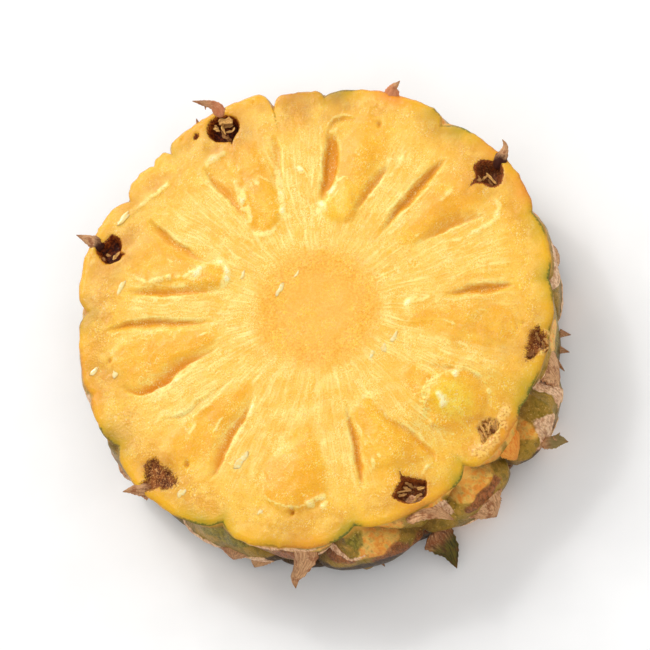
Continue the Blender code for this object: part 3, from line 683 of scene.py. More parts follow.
def inside_distance(places, path):
    """Distance of each place from a closed path, more than 0 inside it."""
    distance = np.full(len(places), np.inf)
    inside = np.zeros(len(places), dtype=bool)
    for start, end in zip(path, np.roll(path, -1, axis=0)):
        line = end - start
        offset = places - start
        along_it = np.clip(offset @ line / (line @ line), 0, 1)
        distance = np.minimum(distance, np.hypot(*(offset - along_it[:, None] * line).T))
        crosses = (start[1] > places[:, 1]) != (end[1] > places[:, 1])
        crossing = start[0] + (places[:, 1] - start[1]) * line[0] / (line[1] or 1e-9)
        inside ^= crosses & (places[:, 0] < crossing)
    return np.where(inside, distance, -distance)


SLIT_WALL = 0.45  # mm from the top of a chamber's steep wall to its floor
TORN = 0.7  # how much of their height the ridges and pads keep


class Cut:
    """One cut face: its places, how far each stands above the plane of the cut, and the material's masks."""

    MASKS = ("gel", "deep", "pale", "inward", "green", "orange",
             "hollow", "fill", "halo", "tan", "crumbs", "lemon")
    OUTSIDE = {"hollow": -3.0}  # what a mask is on the rind, where it isn't 0

    def __init__(self, places, rim, seed):
        self.places = places
        self.radius = np.hypot(*places.T)
        self.bearing = np.degrees(np.arctan2(places[:, 1], places[:, 0])) % 360
        self.to_rim = rim - self.radius
        self.seed = seed
        self.rise = np.zeros(len(places))
        self.mask = {name: np.full(len(places), self.OUTSIDE.get(name, 0.0)) for name in self.MASKS}
        self.flat = columns(places[:, 0], places[:, 1], 0)
        wander = 2.4 * noise(self.flat, 8.0, 79) + 1.2 * noise(self.flat, 3.0, 80)
        turned = np.radians(self.bearing + wander)
        self.rays = columns(np.cos(turned), np.sin(turned), 0)

    def add_mask(self, name, where, amount):
        """Raises a mask to the amount, where it is less."""
        self.mask[name][where] = np.maximum(self.mask[name][where], amount)

    def ray_noise(self, across, length, seed):
        """Noise in streaks that run outwards, across degrees wide and length mm long."""
        points = self.rays / math.radians(across) + np.array([0, 0, 1]) * (self.radius / length)[:, None]
        return noise(points, 1.0, seed + self.seed)

    def near(self, path, reach):
        """The numbers of the places in a box that ends reach beyond the path."""
        low, high = path.min(axis=0) - reach, path.max(axis=0) + reach
        return np.nonzero(((self.places > low) & (self.places < high)).all(axis=1))[0]

    def swell_fruitlets(self, fruitlets):
        """The clear flesh of each fruitlet stands a little proud."""
        for fruitlet in fruitlets:
            turn = turn_from(self.bearing, fruitlet.bearing) + 0.9 * noise(self.flat, 4.0, 70)
            share = np.clip((self.radius - fruitlet.start) / (fruitlet.end - fruitlet.start), 0, 1)
            half = fruitlet.half_width * (0.25 + 0.75 * share**0.5) * np.sqrt(np.clip(1 - share**6, 0, 1))
            inside = 1 - np.abs(turn) / np.maximum(half, 0.01)
            body = smooth(0.0, 0.45, inside) * smooth(0, 0.12, share)
            self.mask["gel"] = np.maximum(self.mask["gel"], body)
            self.rise += 0.3 * body * np.sqrt(np.clip(inside, 0, 1))

    def open_slit(self, slit):
        """Cuts a seed chamber: a steep wall, a floor with painted shade and a slope with a pale lip."""
        path = smooth_path(slit.points)
        where = self.near(path, slit.floor + slit.slope + 2.5)
        distance, share = along(self.places[where], path)
        taper = np.sin(math.pi * np.clip(share, 0, 1) ** 0.8) ** 0.8
        flat = self.flat[where]
        wander = 0.26 * noise(flat, 2.2, 31 + self.seed) + 0.14 * noise(flat, 0.9, 33 + self.seed)
        into = (distance * slit.wall + wander) / (0.25 + 0.75 * taper)
        down = smooth(-0.3, 0.5, into)
        back = np.clip(1 - (into - SLIT_WALL - slit.floor) / slit.slope, 0, 1) ** 1.6
        depth = np.where(into < SLIT_WALL + slit.floor, down, down * back) * taper
        self.rise[where] -= 0.5 * slit.depth * depth
        # painted shade: the chamber's floor is coloured deeper gold, as its shade
        self.add_mask("deep", where, np.clip(smooth(0, 0.8, depth) * slit.depth / 3.6, 0, 1))
        # the pale lip: partly cream flesh, partly a painted highlight on the slope
        lip_at = 0.55 + slit.floor + 0.75 * slit.slope
        lip = bell(into - lip_at, 0.75) * taper * slit.lip
        lip = lip * (0.55 + 0.8 * noise(flat, 1.6, 32 + self.seed))
        self.rise[where] += 0.25 * np.clip(lip, 0, 1)
        self.add_mask("pale", where, np.clip(lip, 0, 1))
        # painted highlight along the top of the steep wall
        self.add_mask("pale", where, 0.75 * bell(into + 0.55, 0.42) * taper)

    def raise_ridge(self, ridge, mask="pale"):
        """Raises a broken line of torn flesh and marks it in a mask; in the pale mask, values past 1 paint a
        white highlight.
        """
        path = smooth_path(ridge.points)
        where = self.near(path, 3 * ridge.width)
        distance, share = along(self.places[where], path)
        taper = np.sin(math.pi * np.clip(share, 0.0, 1)) ** 0.5
        flat = self.flat[where]
        broken = 0.85 + 0.7 * noise(flat, 2.2, 41 + self.seed) + 0.7 * noise(flat, 1.1, 43 + self.seed)
        bent = distance + 0.3 * noise(flat, 1.6, 42)
        shape = bell(bent, 1.2 * ridge.width) * taper * np.clip(broken, 0, 2)
        self.rise[where] += TORN * ridge.height * shape
        self.add_mask(mask, where, np.clip(1.25 * ridge.pale * shape, 0, 1.5))

    def raise_pad(self, pad):
        """Raises a smooth pad, with a painted highlight as a pale lip on the side that the light comes from.
        """
        path = curve_through(flat_places(pad.outline), 4, closed=True)
        where = self.near(path, 2.0)
        flat = self.flat[where]
        inside = inside_distance(self.places[where], path) + 0.5 * noise(flat, 3.0, 65)
        inside = inside + 0.2 * noise(flat, 1.2, 67)
        offset = self.places[where] - path.mean(axis=0)
        facing = offset @ flat_places([(LIT_FROM, 1.0)])[0] / np.maximum(np.hypot(*offset.T), 1e-9)
        self.rise[where] += TORN * pad.height * smooth(-0.5, 1.9, inside)
        self.add_mask("gel", where, smooth(-0.3, 1.0, inside))
        lip = pad.lip * bell(inside - 0.4, 0.42) * smooth(0.0, 0.8,
                                                          facing) * (0.6 + 0.8 * noise(flat, 1.8, 66))
        self.add_mask("pale", where, np.clip(lip, 0, 1))

    def raise_patch(self, patch):
        """Raises a smooth oval and shifts its colour."""
        middle = flat_places([(patch.bearing, patch.radius)])[0]
        out = middle / patch.radius
        offset = self.places - middle
        length = offset @ out / patch.half_length
        width = (offset[:, 1] * out[0] - offset[:, 0] * out[1]) / patch.half_width
        inside = 1 - np.hypot(length, width)
        self.rise += patch.height * smooth(0, 0.7, inside)
        self.mask["lemon"] += patch.lemon * smooth(-0.1, 0.5, inside)

    def crumble(self, ridge):
        """Breaks the flesh along a line into crumbs."""
        path = smooth_path(ridge.points)
        where = self.near(path, 3 * ridge.width)
        distance, share = along(self.places[where], path)
        taper = np.sin(math.pi * np.clip(share, 0, 1)) ** 0.5
        shape = bell(distance, ridge.width) * taper
        crumbs = noise(self.flat[where], 1.3, 51) + 0.8 * noise(self.flat[where], 0.9, 52)
        self.rise[where] += ridge.height * shape * (0.3 + 0.5 * crumbs)
        self.add_mask("crumbs", where, shape)

    def sink_cup(self, cup):
        """Sinks a dried flower's hollow, ragged at its edge."""
        path = curve_through(flat_places(cup.outline), 3, closed=True)
        where = self.near(path, 7.0)
        flat = self.flat[where]
        inside = inside_distance(self.places[where], path)
        fuzzy = 0.12 + 0.3 * smooth(0.5, 0.8, cup.fill)
        ragged = inside + fuzzy * noise(flat, 0.9, 61)
        lumps = 0.5 + 0.5 * noise(flat, 1.0, 62)
        sink = smooth(-0.15, cup.wall, ragged) * (1 - 0.4 * min(cup.fill, 1) * lumps)
        self.rise[where] -= cup.depth * sink
        self.mask["hollow"][where] = np.maximum(self.mask["hollow"][where], np.clip(ragged, -3, 3))
        filled = np.where(inside > -1.2, cup.fill, 0)
        self.mask["fill"][where] = np.maximum(self.mask["fill"][where], filled)
        halo = cup.halo * np.exp(-np.clip(-inside, 0, None) / 2.2) * (0.8 + 0.5 * noise(flat, 2.2, 63))
        self.add_mask("halo", where, np.clip(halo, 0, 1))

    def stain(self, bearing, radius, reach, strength):
        """Browns the flesh round a place."""
        away = np.hypot(*(self.places - flat_places([(bearing, radius)])).T) / reach
        uneven = 1 + 0.6 * noise(self.flat, 2.6, 85) + 0.5 * noise(self.flat, 6.0, 86)
        self.mask["halo"] = np.maximum(self.mask["halo"], np.clip(strength * bell(away, 1.0) * uneven, 0, 1))

    def sink_pit(self, pit):
        bearing, radius, half_width, depth = pit
        offset = self.places - flat_places([(bearing, radius)])
        stretched = np.hypot(offset[:, 0], offset[:, 1] * 0.7) / half_width
        self.rise -= depth * bell(stretched, 0.8)
        # painted shade: the pit is coloured deeper gold
        self.mask["deep"] = np.maximum(self.mask["deep"], bell(stretched, 0.75))

    def grain(self):
        """The unevenness of wet, torn flesh."""
        gel = self.mask["gel"]
        fibrous = smooth(13, 18, self.radius) * (1 - smooth(48, 54, self.radius))
        self.rise += 0.16 * noise(self.flat, 8.0, 71 + self.seed) + 0.07 * noise(self.flat, 3.0,
                                                                                 72 + self.seed)
        self.rise += 0.05 * noise(self.flat, 1.1, 73 + self.seed)
        fibres = 0.06 * self.ray_noise(1.8, 8.0, 74) + 0.04 * self.ray_noise(0.9, 4.0, 75)
        self.rise += fibrous * (1 - gel) * fibres * (0.5 + smooth(-0.3, 0.3, noise(self.flat, 5.0, 82)))
        self.rise += gel * (0.09 * self.ray_noise(4.0, 8.0, 76) + 0.05
                            * noise(self.flat, 1.6, 77 + self.seed))
        self.rise += 0.03 * bell(self.radius - 12.5, 2.2) * noise(self.flat, 0.9, 78 + self.seed)

    def colour_rim(self, greens, oranges):
        """Marks where the rim is green or orange."""
        uneven = 1 + 0.5 * noise(self.flat, 3.0, 81 + self.seed)
        self.mask["inward"] = np.clip(self.to_rim, 0, 9)
        wide = bell(np.clip(self.to_rim, 0, None), 3.3)
        for name, spots in (("green", greens), ("orange", oranges)):
            for middle, half_width, strength in spots:
                spot = strength * bell(turn_from(self.bearing, middle), half_width) * wide * uneven
                self.mask[name] = np.clip(np.maximum(self.mask[name], spot), 0, 1)

    def round_edge(self):
        self.rise -= EDGE_DROP * (1 - smooth(0, EDGE_WIDTH, self.to_rim)) ** 1.5


def upper_cut(places, rim):
    cut = Cut(places, rim, 0)
    cut.swell_fruitlets(FRUITLETS)
    cut.grain()
    for patch in PATCHES:
        cut.raise_patch(patch)
    for pad in PADS:
        cut.raise_pad(pad)
    strokes = [Ridge([(first, near), (last, far)], 0.15, 0.32, 0.6) for first, near, last, far in STROKES]
    for ridge in RIDGES + strokes:
        cut.raise_ridge(ridge)
    for slit in SLITS:
        cut.open_slit(slit)
    cut.crumble(CRUMBLE)
    for band in TAN_BANDS:
        cut.raise_ridge(band, "tan")
    for pit in PITS:
        cut.sink_pit(pit)
    for stain in STAINS:
        cut.stain(*stain)
    cut.colour_rim(GREEN_RIM, ORANGE_RIM)
    cut.round_edge()
    for cup in CUPS:
        cut.sink_cup(cup)
    return cut


def lower_cut(places, rim):
    """The underside, cut through the row of fruitlets below."""
    cut = Cut(places, rim, 400)
    bearings = [bearing for bearing, _, _ in ROW_BELOW]
    cut.swell_fruitlets([Fruitlet(bearing, 25, 52, 10) for bearing in bearings])
    cut.grain()
    for number, bearing in enumerate(bearings):
        for side in (1, -1):
            at = bearing + side * (9.5 + number % 3)
            start, end = 48 - 2 * (number % 2), 28 + number % 4
            middle = (start + end) / 2
            points = [(at, start), (at + side, middle), (at - side, end)]
            cut.open_slit(Slit(side, points, 2.4 + 0.3 * (number % 4), 0.5, 2.2, 0.3))
    greens = [(bearing, 6, 0.8) for bearing in bearings[::2]]
    oranges = [(bearing, 6, 0.7) for bearing in bearings[1::2]]
    cut.colour_rim(greens, oranges)
    return cut


# ---- the body -------------------------------------------------------------------------------------------


def disc(rings):
    """A disc with SECTORS * k points in its ring k: shares of the radius, bearings, triangles and the
    first point of its rim."""
    shares, bearings, triangles = [np.zeros(1)], [np.zeros(1)], []
    inner = np.zeros(1, dtype=int)
    first = 1
    for ring in range(1, rings + 1):
        count = SECTORS * ring
        shares.append(np.full(count, (ring / rings) ** 0.8))
        bearings.append(np.arange(count) * 360 / count)
        outer = first + np.arange(count)
        for sector in range(SECTORS):
            steps = np.arange(ring)
            near = inner[(sector * (ring - 1) + steps) % len(inner)]
            far = outer[(sector * ring + steps) % count]
            far_next = outer[(sector * ring + steps + 1) % count]
            triangles.append(columns(near, far, far_next))
            near_next = inner[(sector * (ring - 1) + steps[:-1] + 1) % len(inner)]
            triangles.append(columns(near[:-1], far_next[:-1], near_next))
        inner = outer
        first += count
    rim_start = first - SECTORS * rings
    return np.concatenate(shares), np.concatenate(bearings), np.concatenate(triangles), rim_start


def spread(shares, rim):
    """Radius of a disc's points, even inside and following the rim only near it."""
    return shares * MEAN_RIM + (rim - MEAN_RIM) * shares**RIM_PULL


def body():
    """The whole slice as one closed mesh: places in mm, triangles, which are rind, and the masks."""
    shares, bearings, top_faces, top_rim = disc(TOP_RINGS)
    out = outward(bearings)
    rim, top_masks = rind_surface(bearings, cut_height(bearings))
    places = out * spread(shares, rim)[:, None]
    cut = upper_cut(places, rim)
    level = softly_lower(np.full(len(out), THICKNESS), dip_height(places))
    top = columns(places[:, 0], places[:, 1], level + cut.rise)

    columns_round = SECTORS * TOP_RINGS
    side_bearing = bearings[top_rim:]
    side_out = out[top_rim:]
    start = top[top_rim:, 2]
    rows = []
    row_masks = []
    for row in range(1, SIDE_ROWS + 1):
        share = row / SIDE_ROWS
        height = start + (FOOT_HEIGHT - start) * share
        radius, masks = rind_surface(side_bearing, height)
        radius = radius - 0.4 * smooth(FOOT_HEIGHT + 1.2, FOOT_HEIGHT, height)
        rows.append(columns(side_out[:, 0] * radius, side_out[:, 1] * radius, height))
        row_masks.append(masks)
    first_side = len(top)
    around = np.arange(columns_round)
    ahead = (around + 1) % columns_round
    side_faces = []
    upper = top_rim + around
    for row in range(SIDE_ROWS):
        lower = first_side + row * columns_round + around
        side_faces.append(columns(upper, lower, lower[ahead]))
        side_faces.append(columns(upper, lower[ahead], upper[ahead]))
        upper = lower

    under_shares, under_bearings, under_faces, under_rim = disc(UNDER_RINGS)
    foot, under_masks = rind_surface(under_bearings, np.full(len(under_bearings), FOOT_HEIGHT))
    under_places = outward(under_bearings) * spread(under_shares, foot - 0.9)[:, None]
    under_cut = lower_cut(under_places, foot)
    under_height = np.clip(-under_cut.rise - 0.1 + 0.4 * under_cut.mask["gel"], 0, None)
    under_height[under_rim:] = 0
    under = columns(under_places[:, 0], under_places[:, 1], under_height)
    first_under = first_side + SIDE_ROWS * columns_round
    half_around = np.arange(SECTORS * UNDER_RINGS)
    here = first_under + under_rim + half_around
    beyond = first_under + under_rim + (half_around + 1) % len(half_around)
    left, middle, right = (upper[(2 * half_around + step) % columns_round] for step in (0, 1, 2))
    side_faces += [columns(left, here, middle), columns(middle, here, beyond), columns(middle, beyond, right)]

    vertices = np.vstack([top] + rows + [under])
    side_faces = np.concatenate(side_faces)
    faces = np.concatenate([top_faces, under_faces[:, ::-1] + first_under, side_faces])
    is_rind = np.zeros(len(faces), dtype=int)
    is_rind[len(top_faces) + len(under_faces):] = 1

    masks = {}
    side_count = SIDE_ROWS * columns_round
    for name in Cut.MASKS:
        side = np.full(side_count, Cut.OUTSIDE.get(name, 0.0))
        masks[name] = np.concatenate([cut.mask[name], side, under_cut.mask[name]])
    for name in top_masks:
        side = np.concatenate([row[name] for row in row_masks])
        masks[name] = np.concatenate([top_masks[name], side, under_masks[name]])
    return vertices, faces, is_rind, masks


def new_piece(name, vertices, faces, materials, material_numbers=None, masks=None):
    """A smooth mesh object from places in mm and triangles."""
    mesh = bpy.data.meshes.new(name)
    mesh.from_pydata((vertices * MM).tolist(), [], faces.tolist())
    for material in materials:
        mesh.materials.append(material)
    if material_numbers is not None:
        mesh.polygons.foreach_set("material_index", material_numbers.astype(np.int32))
    for mask, values in (masks or {}).items():
        layer = mesh.attributes.new(mask, "FLOAT", "POINT")
        layer.data.foreach_set("value", values.astype(np.float32))
    mesh.shade_smooth()
    mesh.update()
    made = bpy.data.objects.new(name, mesh)
    bpy.context.scene.collection.objects.link(made)
    return made


# ---- bracts ---------------------------------------------------------------------------------------------


def plain_radius_at(bearing, height):
    radius, _ = plain_rind_radius(np.array([float(bearing)]), np.array([float(height)]))
    return float(radius[0])


def pressed_bracts():
    """The bracts of the row below that lie almost flat across their eyes."""
    found = []
    for bearing, up, _ in ROW_BELOW[:7]:
        eye = THICKNESS + up
        tip_height = eye - PRESSED_DROP / 2
        tip_radius = plain_radius_at(bearing, tip_height) + PRESSED_STAND
        root = (bearing, eye + PRESSED_DROP / 2, PRESSED_HALF_WIDTH)
        found.append(root + (bearing, tip_radius, tip_height, 0.0, 0.0))
    return found


def shell(points, thickness):
    """A closed thin shell round the (along, across, 3) grid of points, with a thickness for each of them."""
    by_length = np.gradient(points, axis=0)
    by_width = np.gradient(points, axis=1)
    normal = np.cross(by_length, by_width)
    normal /= np.maximum(np.linalg.norm(normal, axis=2, keepdims=True), 1e-9)
    half = thickness[..., None] / 2
    rows, across = points.shape[:2]
    vertices = np.concatenate([(points + normal * half).reshape(-1, 3),
                               (points - normal * half).reshape(-1, 3)])
    number = np.arange(rows * across).reshape(rows, across)
    back = rows * across
    a, b = number[:-1, :-1].ravel(), number[1:, :-1].ravel()
    c, d = number[1:, 1:].ravel(), number[:-1, 1:].ravel()
    faces = [columns(a, b, c), columns(a, c, d), columns(a, c, b) + back, columns(a, d, c) + back]
    loop = np.concatenate([number[0, :-1], number[:-1, -1], number[-1, :0:-1], number[:0:-1, 0]])
    ahead = np.roll(loop, -1)
    faces += [columns(loop, ahead, ahead + back), columns(loop, ahead + back, loop + back)]
    return vertices, np.concatenate(faces)


def both_sides(values, shape):
    """Values on the grid of a shell, for its front and its back."""
    return np.tile(np.broadcast_to(values, shape).ravel(), 2)


def alike(count, **amounts):
    """Masks that are the same all over."""
    return {name: np.full(count, amount) for name, amount in amounts.items()}


def directions(path):
    """The directions across a line of places and off its back."""
    ahead = np.gradient(path, axis=0)
    ahead /= np.linalg.norm(ahead, axis=1, keepdims=True)
    sideways = np.cross([0, 0, 1], ahead)
    sideways /= np.linalg.norm(sideways, axis=1, keepdims=True)
    return sideways, np.cross(ahead, sideways)


def scale_shape(middle, sideways, back, half, number, cupping):
    """A dry scale with a toothed edge and folds, from its middle line, the directions across it and off its
    back, and half its width, all from root to tip."""
    rows = len(middle)
    share = np.linspace(0, 1, rows)[:, None]
    across = np.linspace(-1, 1, BRACT_ACROSS)[None, :]
    teeth = 1 + 0.2 * ((share * 9 + number * 0.37) % 1) * np.abs(across) ** 4
    width = half[:, None] * teeth
    lean = draws(number, 3, 9) - 0.5
    raised = cupping * width * across**2
    folds = 0.16 * np.cos(across * 9 + lean[2] * 6 + share * 3) * (1 - share)
    folds = folds + 0.05 * np.cos(across * 23 + share * 5)
    folds = folds * np.clip(half[:, None] / 2, 0, 1)
    points = middle[:, None, :] + sideways[:, None, :] * (across * width)[..., None]
    rough = noise(points.reshape(-1, 3), 1.2, 91).reshape(points.shape[:2]) * np.clip(half[:, None] / 2, 0, 1)
    points = points + back[:, None, :] * (folds - raised + 0.16 * rough)[..., None]
    thickness = (0.7 - 0.4 * share) * (1 - 0.55 * across**2) * np.clip(half[:, None], 0.35, 1)
    vertices, faces = shell(points, thickness)
    masks = {
        "along": both_sides(share, points.shape[:2]),
        "across": both_sides(across, points.shape[:2]),
        "seed": np.full(len(vertices), lean[1] + 0.5),
    }
    return vertices, faces, masks


def bract(number, spec):
    """One dry, pointed scale, bending out from its root in the rind."""
    bearing, height, half_width, tip_bearing, tip_radius, tip_height, green, amber = spec
    root = polar(bearing, plain_radius_at(bearing, height) - BRACT_ROOT, height)
    tip = polar(tip_bearing, tip_radius, tip_height)
    line = tip - root
    length = np.linalg.norm(line)
    sideways = polar(bearing + 90, 1, 0)
    back = np.cross(line, sideways)
    back /= np.linalg.norm(back)
    lean = draws(number, 2, 8) - 0.5
    share = np.linspace(0, 1, BRACT_STATIONS)
    curl = lean[0] * 0.22 * length * share**3
    arch = BRACT_ARCH * length * np.sin(math.pi * share) + lean[1] * 0.10 * length * share**4
    middle = root + np.outer(share, line) + np.outer(curl, sideways) + np.outer(arch, back)
    half = half_width * (1 - share**1.25) + 0.15
    rows = np.ones((BRACT_STATIONS, 1))
    vertices, faces, masks = scale_shape(middle, rows * sideways, rows * back, half, number, BRACT_CUPPING)
    tone = 0.25 + 0.6 * masks["seed"][0]
    return vertices, faces, masks | alike(len(vertices), tone=tone, green=green, amber=amber, pink=0.0)


def blade(number, spec):
    """A bract that follows its own line from root to tip."""
    knots = np.array([[*polar(*place), half] for *place, half in spec.stations])
    path = curve_through(knots, max(4, BRACT_STATIONS // (len(knots) - 1)))
    middle = path[:, :3]
    half = np.clip(path[:, 3], 0.05, None) * smooth(-0.08, 0.16, np.linspace(0, 1, len(path)))
    sideways, back = directions(middle)
    vertices, faces, masks = scale_shape(middle, sideways, back, half, number, spec.cupping)
    plain = alike(len(vertices), tone=spec.tone, green=spec.green, amber=0.0, pink=spec.pink)
    return vertices, faces, masks | plain


def joined(parts):
    """Several (vertices, faces, masks) as one."""
    vertices, faces, masks = [], [], {}
    first = 0
    for part_vertices, part_faces, part_masks in parts:
        vertices.append(part_vertices)
        faces.append(part_faces + first)
        first += len(part_vertices)
        for name, values in part_masks.items():
            masks.setdefault(name, []).append(values)
    masks = {name: np.concatenate(values) for name, values in masks.items()}
    return np.vstack(vertices), np.vstack(faces), masks


def draws(number, count, seed):
    """count repeatable numbers from 0 to 1."""
    return scatter(columns(np.full(count, number), np.arange(count), 0), seed)


def husk(number, spec):
    """A curled shred of a dried flower, lying in its hollow."""
    line = flat_places(spec.line)
    lot = draws(number, 4, 13)
    level = softly_lower(np.full(len(line), THICKNESS), dip_height(line)) - 0.75 * spec.below
    slant = (lot[0] - 0.5) * 1.4 * np.linspace(-1, 1, len(line))
    path = curve_through(columns(line[:, 0], line[:, 1], level + slant), max(3, 12 // (len(line) - 1)))
    side, up = directions(path)
    share = np.linspace(0, 1, len(path))[:, None]
    across = np.linspace(-1, 1, HUSK_ACROSS)[None, :]
    half = spec.half_width * (0.55 + 0.45 * np.sin(math.pi * share))
    half = half * (1 + 0.25 * np.cos(share * 13 + 6 * lot[1]))
    roll = (0.5 + 0.9 * lot[2]) * np.sin(share * 5 + 6 * lot[3])
    points = (path[:, None, :] + side[:, None, :] * (across * half)[..., None]
              + up[:, None, :] * (0.55 * half * (across**2 + roll * across))[..., None])
    vertices, faces = shell(points, np.full(points.shape[:2], 0.2))
    masks = {"along": both_sides(share, points.shape[:2]), "across": both_sides(across, points.shape[:2])}
    return vertices, faces, masks | alike(len(vertices), tone=spec.tone)


def dried_flowers():
    return joined([husk(number, spec) for number, spec in enumerate(HUSKS)])


# A drop of juice on the upper cut, coloured pale as a painted highlight: bearing, radius, half length, half
# width.
DROPS = [
    (171.4, 51.6, 1.9, 0.75), (196.5, 53.2, 1.5, 0.8), (194.4, 58.4, 1.3, 0.7), (150.8, 11.3, 1.7, 0.75),
    (121.5, 11.0, 0.9, 0.4), (153.5, 21.9, 1.0, 0.5), (336.3, 21.2, 1.3, 0.7), (326.4, 20.4, 1.1, 0.7),
    (317.8, 19.0, 0.9, 0.6), (246.0, 43.2, 2.3, 1.15), (235.7, 57.1, 1.2, 0.95), (257.0, 54.0, 0.8, 0.5),
    (152.6, 58.0, 2.4, 0.7),
]
DROP_HEADING = 62.0  # degrees from +X: most drops are drawn out along this line


def drop(number, spec, level):
    """A shallow drop, drawn out along DROP_HEADING like the highlights it paints."""
    bearing, radius, half_length, half_width = spec
    lot = draws(number, 4, 17)
    heading = math.radians(DROP_HEADING + 24 * (lot[0] - 0.5))
    rings, around = 7, 24
    angle = np.arange(around) * 2 * math.pi / around
    wobble = 1 + 0.22 * np.cos(2 * angle + 6 * lot[1]) + 0.16 * np.cos(3 * angle + 6 * lot[2])
    wobble = wobble + 0.10 * np.cos(5 * angle + 6 * lot[3])
    vertices = [np.array([[0, 0, 1.0]])]
    for ring in range(1, rings + 1):
        share = ring / rings
        vertices.append(columns(share * wobble * np.cos(angle), share * wobble * np.sin(angle), 1 - share**2))
    under = 1 + rings * around
    vertices.append(np.array([[0, 0, -3.0]]))
    shape = np.vstack(vertices) * np.array([half_length, 0.9 * half_width, 0.045])
    cosine, sine = math.cos(heading), math.sin(heading)
    turn = np.array([[cosine, -sine, 0], [sine, cosine, 0], [0, 0, 1]])
    steps = np.arange(around)
    ahead = (steps + 1) % around
    faces = [columns(0, 1 + steps, 1 + ahead)]
    for ring in range(rings - 1):
        inner, outer = 1 + ring * around, 1 + (ring + 1) * around
        faces.append(columns(inner + steps, outer + steps, outer + ahead))
        faces.append(columns(inner + steps, outer + ahead, inner + ahead))
    rim = 1 + (rings - 1) * around
    faces.append(columns(rim + ahead, rim + steps, under))
    middle = polar(bearing, radius, level + 0.05)
    return shape @ turn.T + middle, np.concatenate(faces), {"tone": np.full(len(shape), lot[3])}


# ---- materials ------------------------------------------------------------------------------------------


def colour(red, green, blue):
    """A colour as it shows on a screen, 0 to 255, as the linear one that nodes use."""
    shares = [part / 255 for part in (red, green, blue)]
    return tuple(((part + 0.055) / 1.055) ** 2.4 if part
                 * 255 > 10 else part / 12.92 for part in shares) + (1.0,)


